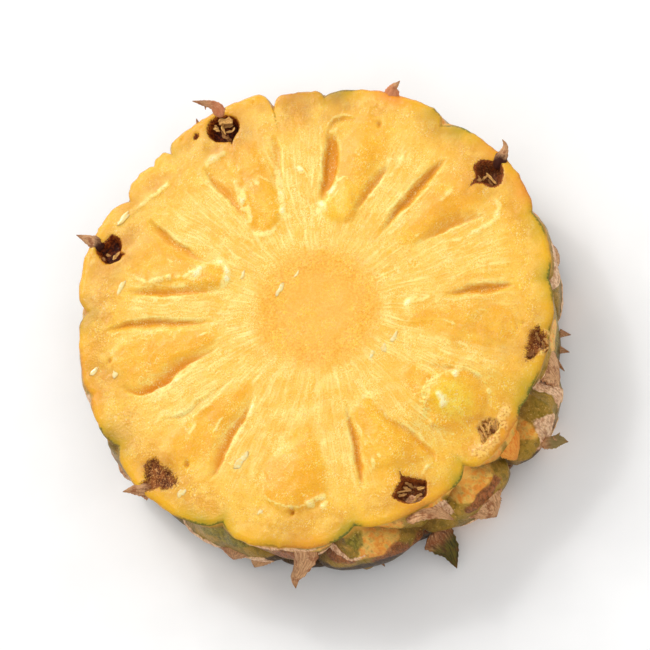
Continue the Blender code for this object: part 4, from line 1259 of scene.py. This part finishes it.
class Look:
    """A material and short ways to add nodes to it."""

    def __init__(self, name):
        self.material = bpy.data.materials.new(name)
        self.material.use_nodes = True
        self.nodes = self.material.node_tree.nodes
        self.links = self.material.node_tree.links
        self.shader = self.nodes["Principled BSDF"]
        coordinates = self.nodes.new("ShaderNodeTexCoord")
        self.place = self.vector("SCALE", coordinates.outputs["Object"], scale=1 / MM)

    def put(self, value, socket):
        if isinstance(value, bpy.types.NodeSocket):
            self.links.new(value, socket)
        else:
            socket.default_value = value

    def vector(self, operation, a, b=None, scale=None):
        node = self.nodes.new("ShaderNodeVectorMath")
        node.operation = operation
        self.put(a, node.inputs[0])
        if b is not None:
            self.put(b, node.inputs[1])
        if scale is not None:
            self.put(scale, node.inputs["Scale"])
        return node.outputs["Value" if operation in ("LENGTH", "DOT_PRODUCT") else "Vector"]

    def math(self, operation, a, b=0.0, clamp=False):
        node = self.nodes.new("ShaderNodeMath")
        node.operation = operation
        node.use_clamp = clamp
        self.put(a, node.inputs[0])
        self.put(b, node.inputs[1])
        return node.outputs[0]

    def times(self, a, b):
        return self.math("MULTIPLY", a, b)

    def plus(self, a, b):
        return self.math("ADD", a, b)

    def rest_of(self, value):
        return self.math("SUBTRACT", 1.0, value)

    def centred(self, value, amount):
        """A noise from 0 to 1, moved to be as often below 0 as above it."""
        return self.times(self.math("SUBTRACT", value, 0.5), amount)

    def mask(self, name):
        node = self.nodes.new("ShaderNodeAttribute")
        node.attribute_name = name
        return node.outputs["Fac"]

    def combine(self, x, y, z):
        node = self.nodes.new("ShaderNodeCombineXYZ")
        for socket, value in zip(node.inputs, (x, y, z)):
            self.put(value, socket)
        return node.outputs[0]

    def noise(self, vector, scale, detail=2.0, rough=0.55, output=0):
        node = self.nodes.new("ShaderNodeTexNoise")
        self.put(vector, node.inputs["Vector"])
        self.put(scale, node.inputs["Scale"])
        self.put(detail, node.inputs["Detail"])
        self.put(rough, node.inputs["Roughness"])
        return node.outputs[output]

    def step(self, value, low, high):
        """0 at low, 1 at high, smooth between."""
        node = self.nodes.new("ShaderNodeMapRange")
        node.interpolation_type = "SMOOTHSTEP"
        self.put(value, node.inputs["Value"])
        self.put(low, node.inputs["From Min"])
        self.put(high, node.inputs["From Max"])
        return node.outputs["Result"]

    def mix(self, factor, a, b, blend="MIX"):
        node = self.nodes.new("ShaderNodeMix")
        node.data_type = "RGBA"
        node.blend_type = blend
        self.put(factor, node.inputs[0])
        self.put(a, node.inputs[6])
        self.put(b, node.inputs[7])
        return node.outputs[2]

    def between(self, value, low, high, first, second):
        """One colour where value is at low, the other where it is at high."""
        return self.mix(self.step(value, low, high), colour(*first), colour(*second))

    def tint(self, base, value, low, high, weight, shade):
        """base, with as much as weight of a colour over it where value is at high."""
        return self.mix(self.times(self.step(value, low, high), weight), base, colour(*shade))

    def wander(self, scale, amount_mm):
        """The place, moved about by smooth noise."""
        moved = self.vector("SUBTRACT", self.noise(self.place, scale, 1.0, output=1), (0.5, 0.5, 0.5))
        return self.vector("ADD", self.place, self.vector("SCALE", moved, scale=amount_mm))

    def drawn_out(self, heading, stretch):
        """The place, squeezed along a heading so that noise on it is drawn out that way."""
        turned = math.radians(heading)
        ahead = self.vector("DOT_PRODUCT", self.place, (math.cos(turned), math.sin(turned), 0))
        aside = self.vector("DOT_PRODUCT", self.place, (-math.sin(turned), math.cos(turned), 0))
        up = self.vector("DOT_PRODUCT", self.place, (0, 0, 1))
        return self.combine(self.times(ahead, 1 / stretch), aside, up)

    def rays(self, place, across, length):
        """Coordinates for streaks that run outwards, across degrees wide and length mm long."""
        flat = self.vector("MULTIPLY", place, (1, 1, 0))
        radius = self.vector("LENGTH", flat)
        outward = self.vector("SCALE", self.vector("NORMALIZE", flat), scale=1 / math.radians(across))
        return self.vector("ADD", outward, self.combine(0.0, 0.0, self.times(radius, 1 / length)))

    def bump(self, height, distance_mm, strength=1.0, after=None):
        node = self.nodes.new("ShaderNodeBump")
        self.put(height, node.inputs["Height"])
        node.inputs["Distance"].default_value = distance_mm * MM
        node.inputs["Strength"].default_value = strength
        if after is not None:
            self.links.new(after, node.inputs["Normal"])
        return node.outputs["Normal"]

    def finish(self, base, rough, normal, **constants):
        self.put(base, self.shader.inputs["Base Color"])
        self.put(rough, self.shader.inputs["Roughness"])
        self.put(normal, self.shader.inputs["Normal"])
        for name, value in constants.items():
            self.shader.inputs[name.replace("_", " ")].default_value = value
        return self.material


def flesh():
    look = Look("pineapple_flesh")
    bent = look.wander(0.10, 3.0)
    radius = look.vector("LENGTH", look.vector("MULTIPLY", look.place, (1, 1, 0)))
    gel = look.mask("gel")
    fibre = look.noise(look.rays(bent, 1.5, 11.0), 1.0, 2.0, 0.6)
    outer_fibre = look.noise(look.rays(bent, 0.75, 10.0), 1.0, 2.0, 0.6)
    fibre = look.mix(look.step(radius, 24.0, 34.0), fibre, outer_fibre)
    band = look.noise(look.rays(bent, 3.2, 15.0), 1.0, 2.0, 0.5)
    patches = look.noise(look.place, 0.11, 3.0, 0.6)
    clouds = look.noise(bent, 0.24, 4.0, 0.66)
    mottle = look.noise(look.place, 0.42, 3.0, 0.6)
    grain = look.noise(look.place, 1.6, 3.0, 0.6)
    flecks = look.noise(look.drawn_out(DROP_HEADING, 1.5), 3.0, 1.0, 0.5)
    clusters = look.step(look.noise(look.place, 0.30, 2.0, 0.5), 0.42, 0.60)
    pores = look.noise(look.place, 2.8, 1.0, 0.5)

    base = look.between(patches, 0.35, 0.65, (251, 198, 82), (248, 187, 60))
    base = look.tint(base, mottle, 0.50, 0.72, 0.5, (253, 213, 114))
    base = look.tint(base, mottle, 0.50, 0.28, 0.5, (243, 177, 46))
    # pale fibres between the fruitlets
    fibrous = look.times(look.step(radius, *FIBRES_START), look.step(radius, *FIBRES_END[::-1]))
    dry = look.times(fibrous, look.rest_of(look.times(gel, 0.8)))
    here_and_there = look.plus(0.28, look.times(look.step(clouds, 0.40, 0.58), 0.52))
    cloudy = look.times(look.times(look.step(clouds, 0.42, 0.62), dry), 0.5)
    base = look.mix(cloudy, base, colour(255, 227, 144))
    strands = look.times(look.times(look.step(fibre, 0.49, 0.62), dry), here_and_there)
    base = look.mix(strands, base, colour(255, 240, 176))
    between = look.times(look.times(look.step(fibre, 0.48, 0.34), dry), 0.45)
    base = look.mix(between, base, colour(246, 184, 58))
    base = look.mix(look.times(look.times(look.step(band, 0.60, 0.40), dry), 0.4), base, colour(249, 193, 70))
    # the fruitlets' own flesh is clearer and deeper in colour
    inner = look.between(patches, 0.3, 0.7, (249, 184, 38), (242, 171, 24))
    inner = look.tint(inner, clouds, 0.50, 0.66, 0.5, (253, 202, 80))
    inner = look.tint(inner, band, 0.50, 0.70, 0.7, (253, 200, 74))
    inner = look.tint(inner, band, 0.46, 0.30, 0.6, (240, 168, 24))
    base = look.mix(look.times(gel, 0.9), base, inner)
    lemon = look.between(mottle, 0.40, 0.62, (252, 206, 36), (255, 228, 96))
    base = look.mix(look.math("MULTIPLY", look.mask("lemon"), 0.75, clamp=True), base, lemon)
    base = look.mix(look.math("MULTIPLY", look.mask("lemon"), -0.8, clamp=True), base, colour(243, 172, 16))
    # the ring outside the fruitlets, a little duller
    outer = look.between(patches, 0.38, 0.62, (246, 194, 78), (224, 158, 34))
    outer = look.tint(outer, clouds, 0.48, 0.64, 0.8, (252, 212, 116))
    outer = look.tint(outer, mottle, 0.48, 0.34, 0.6, (224, 158, 36))
    base = look.mix(look.times(look.step(radius, *OUTER_RING), 0.85), base, outer)
    # the core
    ring = look.between(grain, 0.36, 0.64, (238, 160, 32), (255, 198, 84))
    base = look.mix(look.step(radius, *CORE[::-1]), base, ring)
    heart = look.between(grain, 0.35, 0.65, (245, 176, 60), (252, 190, 84))
    base = look.mix(look.step(radius, *HEART[::-1]), base, heart)
    # what the knife opened and tore, with painted shade in the chambers and pits, and pale torn flesh with
    # painted highlights
    # painted shade: deeper gold where the chambers and pits sink
    base = look.mix(look.step(look.mask("deep"), 0.0, 0.95), base, colour(231, 150, 2))
    pale_and_lit_flesh = look.plus(look.mask("pale"), look.centred(grain, 0.9))
    base = look.tint(base, pale_and_lit_flesh, 0.30, 0.75, 0.9, (255, 234, 164))
    # painted highlight: white where the pale mask passes 1
    base = look.tint(base, pale_and_lit_flesh, 1.0, 1.35, 0.85, (255, 250, 230))
    crumbled = look.times(look.math("SUBTRACT", look.mask("crumbs"), 0.8), 0.3)
    crumb = look.plus(look.noise(look.place, 1.3, 3.0, 0.7), crumbled)
    crumb = look.times(look.step(crumb, 0.46, 0.58), look.step(look.mask("crumbs"), 0.1, 0.5))
    base = look.mix(look.times(crumb, 0.9), base, colour(255, 236, 156))
    # wet grain: dark pores, and painted sparkles and glints, pale flecks painted as the wet grain's
    # highlights
    base = look.tint(base, pores, 0.52, 0.66, 0.5, (230, 154, 30))
    fine = look.noise(look.place, 3.4, 1.0, 0.5)
    sparkle = look.times(look.step(fine, 0.51, 0.64), look.plus(0.25, look.times(clusters, 0.6)))
    sparkle = look.times(sparkle, look.rest_of(look.times(look.mask("deep"), 0.8)))
    base = look.mix(sparkle, base, look.mix(dry, colour(255, 216, 84), colour(255, 238, 164)))
    glint_grows_outwards = look.plus(0.35, look.times(look.step(radius, 12.0, 50.0), 0.3))
    painted_glint = look.times(glint_grows_outwards, look.plus(0.30, look.times(clusters, 0.8)))
    base = look.mix(look.times(look.step(flecks, 0.59, 0.69), painted_glint), base, colour(255, 242, 196))
    # the rim
    inward = look.plus(look.mask("inward"), look.centred(clouds, 6.0))
    base = look.tint(base, inward, 4.4, 0.8, 0.8, (244, 186, 8))
    base = look.mix(look.times(look.mask("orange"), 0.85), base, colour(236, 146, 52))
    base = look.mix(look.times(look.mask("green"), 0.85), base, colour(172, 152, 28))
    edge = look.step(look.plus(look.mask("inward"), look.centred(grain, 1.6)), 0.65, 0.15)
    greenish = look.step(look.mask("green"), 0.2, 0.6)
    skin = look.between(look.mask("orange"), 0.15, 0.5, (214, 150, 30), (196, 100, 36))
    skin = look.mix(greenish, skin, colour(96, 104, 12))
    base = look.mix(look.times(edge, look.plus(0.4, look.times(greenish, 0.5))), base, skin)
    # round and in the dried flowers
    stain = look.times(look.mask("halo"), look.plus(0.20, look.times(grain, 0.40)))
    base = look.mix(stain, base, colour(176, 108, 36))
    tan = look.between(grain, 0.34, 0.56, (206, 134, 62), (255, 212, 134))
    dry_tan = look.plus(look.mask("tan"), look.centred(mottle, 1.2))
    base = look.mix(look.times(look.step(dry_tan, 0.15, 0.75), 0.8), base, tan)
    felt = look.between(mottle, 0.40, 0.60, (84, 36, 14), (138, 76, 34))
    felt = look.tint(felt, fine, 0.50, 0.64, 0.7, (184, 116, 66))
    felt = look.tint(felt, flecks, 0.56, 0.68, 0.7, (224, 168, 112))
    felt = look.tint(felt, look.mask("hollow"), 0.8, 0.1, 0.5, (112, 48, 18))
    wall = look.between(grain, 0.40, 0.62, (108, 38, 10), (176, 90, 28))
    floor = look.between(grain, 0.42, 0.66, (58, 14, 4), (128, 54, 16))
    hollow = look.mask("hollow")
    inside = look.mix(look.step(hollow, 0.1, 1.3), wall, floor)
    inside = look.mix(look.step(look.mask("fill"), 0.05, 0.9), inside, felt)
    fibrous_fill = look.times(look.step(look.mask("fill"), 1.1, 1.5), look.step(mottle, 0.62, 0.48))
    inside = look.mix(fibrous_fill, inside, tan)
    soft = look.step(look.mask("fill"), 0.55, 0.8)
    blurred = look.plus(hollow, look.centred(pores, look.plus(1.0, look.times(soft, 2.0))))
    low, high = look.plus(-0.12, look.times(soft, -0.5)), look.plus(0.12, look.times(soft, 0.4))
    opened = look.step(blurred, low, high)
    base = look.mix(opened, base, inside)

    base = look.mix(1.0, base, (1.0, 0.975, 0.70, 1.0), "MULTIPLY")

    rough = look.plus(look.times(opened, 0.45), look.times(grain, 0.5))
    height = look.plus(look.times(fibre, look.times(dry, 0.7)), look.times(grain, 0.6))
    normal = look.bump(look.plus(height, look.times(pores, -0.4)), 0.16)
    wet = look.bump(look.plus(look.times(flecks, 0.5), look.times(grain, 0.8)), 0.16, after=normal)
    look.put(wet, look.shader.inputs["Coat Normal"])
    less_wet = look.plus(look.times(opened, 0.6), look.times(look.mask("deep"), 0.35))
    look.put(look.math("SUBTRACT", 0.7, less_wet, clamp=True), look.shader.inputs["Coat Weight"])
    return look.finish(
        base, rough, normal,
        Subsurface_Weight=0.35, Subsurface_Radius=(1.0, 0.5, 0.14), Subsurface_Scale=1.6 * MM,
        Coat_Roughness=0.08, Coat_IOR=1.36, IOR=1.38, Specular_IOR_Level=0.25,
    )


def rind():
    look = Look("pineapple_rind")
    stretched = look.vector("MULTIPLY", look.place, (1.0, 1.0, 0.3))
    patches = look.noise(look.place, 0.13, 3.0, 0.6)
    blotches = look.noise(look.place, 0.42, 3.0, 0.65)
    fibres = look.noise(stretched, 1.6, 3.0, 0.65)
    streaks = look.noise(look.vector("MULTIPLY", look.wander(0.3, 2.0), (1.0, 1.0, 0.22)), 0.9, 3.0, 0.6)
    grain = look.noise(look.place, 2.2, 3.0, 0.6)
    below = look.mask("below")

    def patch(name, soft=0.60):
        """A mask with an uneven edge, drawn out along the fibres."""
        uneven = look.math("SUBTRACT", look.plus(blotches, streaks), 1.0)
        return look.step(look.plus(look.mask(name), look.times(uneven, 0.9)), 0.48 - soft, 0.48 + soft)

    skin = look.between(patches, 0.38, 0.62, (176, 136, 40), (140, 112, 26))
    skin = look.tint(skin, blotches, 0.45, 0.70, 0.7, (206, 158, 60))
    skin = look.tint(skin, streaks, 0.52, 0.40, 0.6, (112, 92, 20))
    orange = look.between(streaks, 0.34, 0.62, (250, 154, 52), (255, 204, 96))
    orange = look.tint(orange, fibres, 0.44, 0.34, 0.4, (214, 108, 40))
    skin = look.mix(look.times(patch("amber"), 0.95), skin, orange)
    leafy = look.between(fibres, 0.35, 0.65, (100, 92, 22), (158, 142, 48))
    skin = look.mix(look.times(patch("fresh"), 0.9), skin, leafy)
    russet = look.between(fibres, 0.35, 0.65, (104, 44, 18), (176, 94, 50))
    skin = look.mix(look.times(patch("red"), 0.85), skin, russet)
    # dark spots, and painted shade low at the foot
    dark_and_foot_shade = look.between(fibres, 0.4, 0.7, (40, 24, 8), (88, 56, 26))
    skin = look.mix(look.times(patch("dark_and_foot_shade"), 0.95), skin, dark_and_foot_shade)
    # painted shade: the skin darkens towards the foot
    skin = look.mix(look.step(below, 0.30, 1.0), skin, look.mix(0.72, skin, colour(50, 30, 6)))
    skin = look.mix(look.times(look.mask("border"), 0.65), skin, colour(88, 54, 18))
    # dry scales
    papery = look.between(fibres, 0.35, 0.62, (200, 144, 104), (252, 212, 170))
    papery = look.tint(papery, streaks, 0.50, 0.36, 0.45, (158, 100, 66))
    papery = look.tint(papery, blotches, 0.60, 0.72, 0.4, (130, 74, 46))
    papery = look.tint(papery, grain, 0.55, 0.72, 0.35, (255, 228, 196))
    skin = look.mix(look.times(patch("papery", 0.24), 0.92), skin, papery)
    # the youngest skin shows next to the cut
    skin = look.tint(skin, below, 0.09, 0.0, 0.5, (236, 168, 70))
    # painted glints: pale specks of the grain on the skin
    skin = look.tint(skin, grain, 0.60, 0.72, 0.5, (246, 208, 130))

    height = look.plus(look.times(fibres, 0.8), look.plus(look.times(grain, 0.5), look.times(streaks, 0.6)))
    normal = look.bump(height, 0.20)
    rough = look.plus(look.times(look.mask("papery"), 0.2), look.times(grain, 0.7))
    return look.finish(base=skin, rough=rough, normal=normal, Subsurface_Weight=0.15,
                       Subsurface_Radius=(1.0, 0.6, 0.2), Subsurface_Scale=1.2 * MM, Specular_IOR_Level=0.12)


def dry_bract():
    look = Look("dry_bract")
    spot = look.combine(look.times(look.mask("across"), 6.0), look.times(look.mask("along"), 2.5),
                        look.times(look.mask("seed"), 40.0))
    fibres = look.noise(spot, 2.2, 4.0, 0.65)
    grain = look.noise(look.place, 2.4, 3.0, 0.6)
    blotches = look.noise(look.place, 0.5, 2.0, 0.6)
    pale = look.between(fibres, 0.34, 0.62, (192, 136, 88), (238, 190, 140))
    dull = look.between(fibres, 0.34, 0.64, (96, 50, 24), (176, 116, 70))
    dry = look.mix(look.mask("tone"), dull, pale)
    dry = look.tint(dry, blotches, 0.50, 0.66, 0.7, (146, 80, 42))
    dry = look.tint(dry, grain, 0.58, 0.70, 0.5, (246, 208, 164))
    dry = look.tint(dry, grain, 0.40, 0.28, 0.7, (84, 42, 18))
    rooted = look.step(look.mask("along"), 0.8, 0.2)
    dry = look.mix(look.math("MULTIPLY", look.mask("pink"), rooted, clamp=True), dry, colour(222, 128, 84))
    rooted = look.step(look.plus(look.mask("along"), look.centred(blotches, 0.8)), 0.45, 0.15)
    dry = look.mix(look.times(look.step(look.mask("pink"), -0.2, -0.8), rooted), dry, colour(66, 26, 12))
    fresh = look.between(fibres, 0.35, 0.65, (36, 28, 1), (106, 92, 20))
    fresh = look.tint(fresh, blotches, 0.50, 0.65, 0.6, (104, 56, 22))
    fresh = look.mix(look.times(look.mask("tone"), 0.5), fresh, colour(178, 170, 108))
    tipped = look.times(look.mask("green"), look.step(look.mask("along"), 0.1, 0.4))
    dry = look.mix(tipped, dry, fresh)
    orange = look.between(fibres, 0.36, 0.64, (232, 130, 40), (252, 176, 76))
    dry = look.mix(look.mask("amber"), dry, orange)
    dry = look.tint(dry, look.mask("along"), 0.85, 1.0, 0.5, (130, 74, 40))
    height = look.plus(fibres, look.times(grain, 0.4))
    rough = look.plus(look.times(grain, 0.35), 0.45)
    return look.finish(dry, rough, look.bump(height, 0.20), Subsurface_Weight=0.2,
                       Subsurface_Radius=(1.0, 0.6, 0.35), Subsurface_Scale=0.8 * MM, Specular_IOR_Level=0.2)


def dry_flower():
    look = Look("dried_flower")
    grain = look.noise(look.place, 2.0, 3.0, 0.6)
    ribbed = look.combine(look.times(look.mask("across"), 1.8), look.mask("along"), look.mask("tone"))
    ribs = look.noise(ribbed, 2.4)
    base = look.mix(look.mask("tone"), colour(112, 48, 18), colour(255, 200, 112))
    base = look.tint(base, ribs, 0.58, 0.42, 0.6, (150, 92, 46))
    base = look.tint(base, grain, 0.52, 0.70, 0.55, (84, 40, 16))
    rough = look.plus(look.times(grain, 0.4), 0.3)
    return look.finish(base, rough, look.bump(look.plus(grain, ribs), 0.14), Specular_IOR_Level=0.2)


# the drops' pale cream colour is a painted highlight
def pale_drop_highlight():
    look = Look("pale_drop_highlight")
    ripple = look.noise(look.place, 1.4, 1.0, 0.5)
    base = look.between(ripple, 0.35, 0.65, (255, 230, 164), (255, 214, 124))
    rough = look.plus(look.times(ripple, 0.10), 0.08)
    return look.finish(base, rough, look.bump(ripple, 0.03), Subsurface_Weight=0.25,
                       Subsurface_Radius=(1.0, 0.6, 0.3), Subsurface_Scale=0.8 * MM, IOR=1.36,
                       Coat_Weight=0.6, Coat_Roughness=0.08)


def pale_floor():
    look = Look("pale_floor")
    grain = look.noise(look.place, 0.05, 3.0, 0.5)
    base = look.between(grain, 0.3, 0.7, (248, 248, 248), (252, 252, 252))
    return look.finish(base, look.plus(look.times(grain, 0.1), 0.75), look.bump(grain, 0.05))


# ---- putting it together --------------------------------------------------------------------------------


def surface_level(vertices, bearing, radius):
    """Height of the upper cut next to a place on it."""
    place = polar(bearing, radius, 0)[:2]
    top = vertices[: 1 + SECTORS * TOP_RINGS * (TOP_RINGS + 1) // 2]
    nearest = np.argmin(np.hypot(*(top[:, :2] - place).T))
    return top[nearest, 2]


def make_slice():
    vertices, faces, is_rind, masks = body()
    slice_piece = new_piece("pineapple_body", vertices, faces, [flesh(), rind()], is_rind, masks)
    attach(slice_piece, "root")
    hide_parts("pineapple_slice")

    parts = [bract(number, spec) for number, spec in enumerate(BRACTS + pressed_bracts())]
    parts += [blade(30 + number, spec) for number, spec in enumerate(BLADES)]
    bract_vertices, bract_faces, bract_masks = joined(parts)
    bracts = new_piece("bracts", bract_vertices, bract_faces, [dry_bract()], masks=bract_masks)
    flower_vertices, flower_faces, flower_masks = dried_flowers()
    flowers = new_piece("dried_flowers", flower_vertices, flower_faces, [dry_flower()], masks=flower_masks)
    drops = [drop(number, spec, surface_level(vertices, *spec[:2])) for number, spec in enumerate(DROPS)]
    drop_vertices, drop_faces, drop_masks = joined(drops)
    highlight_drops = new_piece("highlight_drops", drop_vertices, drop_faces, [pale_drop_highlight()], masks=drop_masks)
    for piece in (bracts, flowers, highlight_drops):
        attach(piece, "root")


FLOOR_HALF = 600.0
FLOOR_BELOW = 0.3  # how far the floor is under the slice, so that they don't share a plane


def make_floor():
    corners = np.array([(-1, -1, 0), (1, -1, 0), (1, 1, 0), (-1, 1, 0)]) * FLOOR_HALF
    corners = corners - np.array([0, 0, FLOOR_BELOW])
    floor = new_piece("floor", corners, np.array([[0, 1, 2], [0, 2, 3]]), [pale_floor()])


# name, bearing and elevation in degrees, distance and width in metres, watts, colour
LIGHTS = [
    ("key", LIT_FROM, 38, 1.6, 1.0, 13.9, (1.0, 0.99, 0.97)),
    ("sparkle", LIT_FROM, 48, 1.0, 0.10, 0.9, (1, 1, 1)),
    ("fill", 300, 55, 1.2, 1.1, 2.2, (1, 1, 1)),
    ("front", 30, 45, 1.2, 0.9, 1.2, (1, 1, 1)),
]
DAYLIGHT = 0.58  # strength of the white light from all round


def area_light(name, bearing, elevation, distance, size, power, tint):
    data = bpy.data.lights.new(name, "AREA")
    data.shape = "DISK"
    data.size = size
    data.energy = power
    data.color = tint
    light = bpy.data.objects.new(name, data)
    up = math.radians(elevation)
    aim = Vector(polar(bearing, math.cos(up), math.sin(up)))
    light.location = aim * distance
    light.rotation_euler = aim.to_track_quat("Z", "Y").to_euler()
    bpy.context.scene.collection.objects.link(light)


def make_studio():
    for light in LIGHTS:
        area_light(*light)
    world = bpy.data.worlds.new("studio")
    world.use_nodes = True
    background = world.node_tree.nodes["Background"]
    background.inputs["Color"].default_value = (1, 1, 1, 1)
    background.inputs["Strength"].default_value = DAYLIGHT
    bpy.context.scene.world = world
    bpy.context.scene.view_settings.view_transform = "Standard"
    bpy.context.scene.view_settings.look = "None"


LENS = 180  # mm, on a 36 mm sensor
CAMERA_PLACE = (0.16961, -0.29852, 0.75064)
CAMERA_LEAN = 25  # degrees off the slice's axis
LEAN_BEARING = 29.7  # of the axis that the camera leans round


def make_camera():
    """A long lens that looks down at the slice."""
    data = bpy.data.cameras.new("camera")
    data.lens = LENS
    data.sensor_width = 36
    camera = bpy.data.objects.new("camera", data)
    turn = Matrix.Rotation(math.radians(CAMERA_LEAN), 4, Vector(polar(LEAN_BEARING, 1, 0)))
    camera.matrix_world = Matrix.Translation(CAMERA_PLACE) @ turn
    bpy.context.scene.collection.objects.link(camera)
    bpy.context.scene.camera = camera


make_slice()
make_floor()
make_studio()
make_camera()
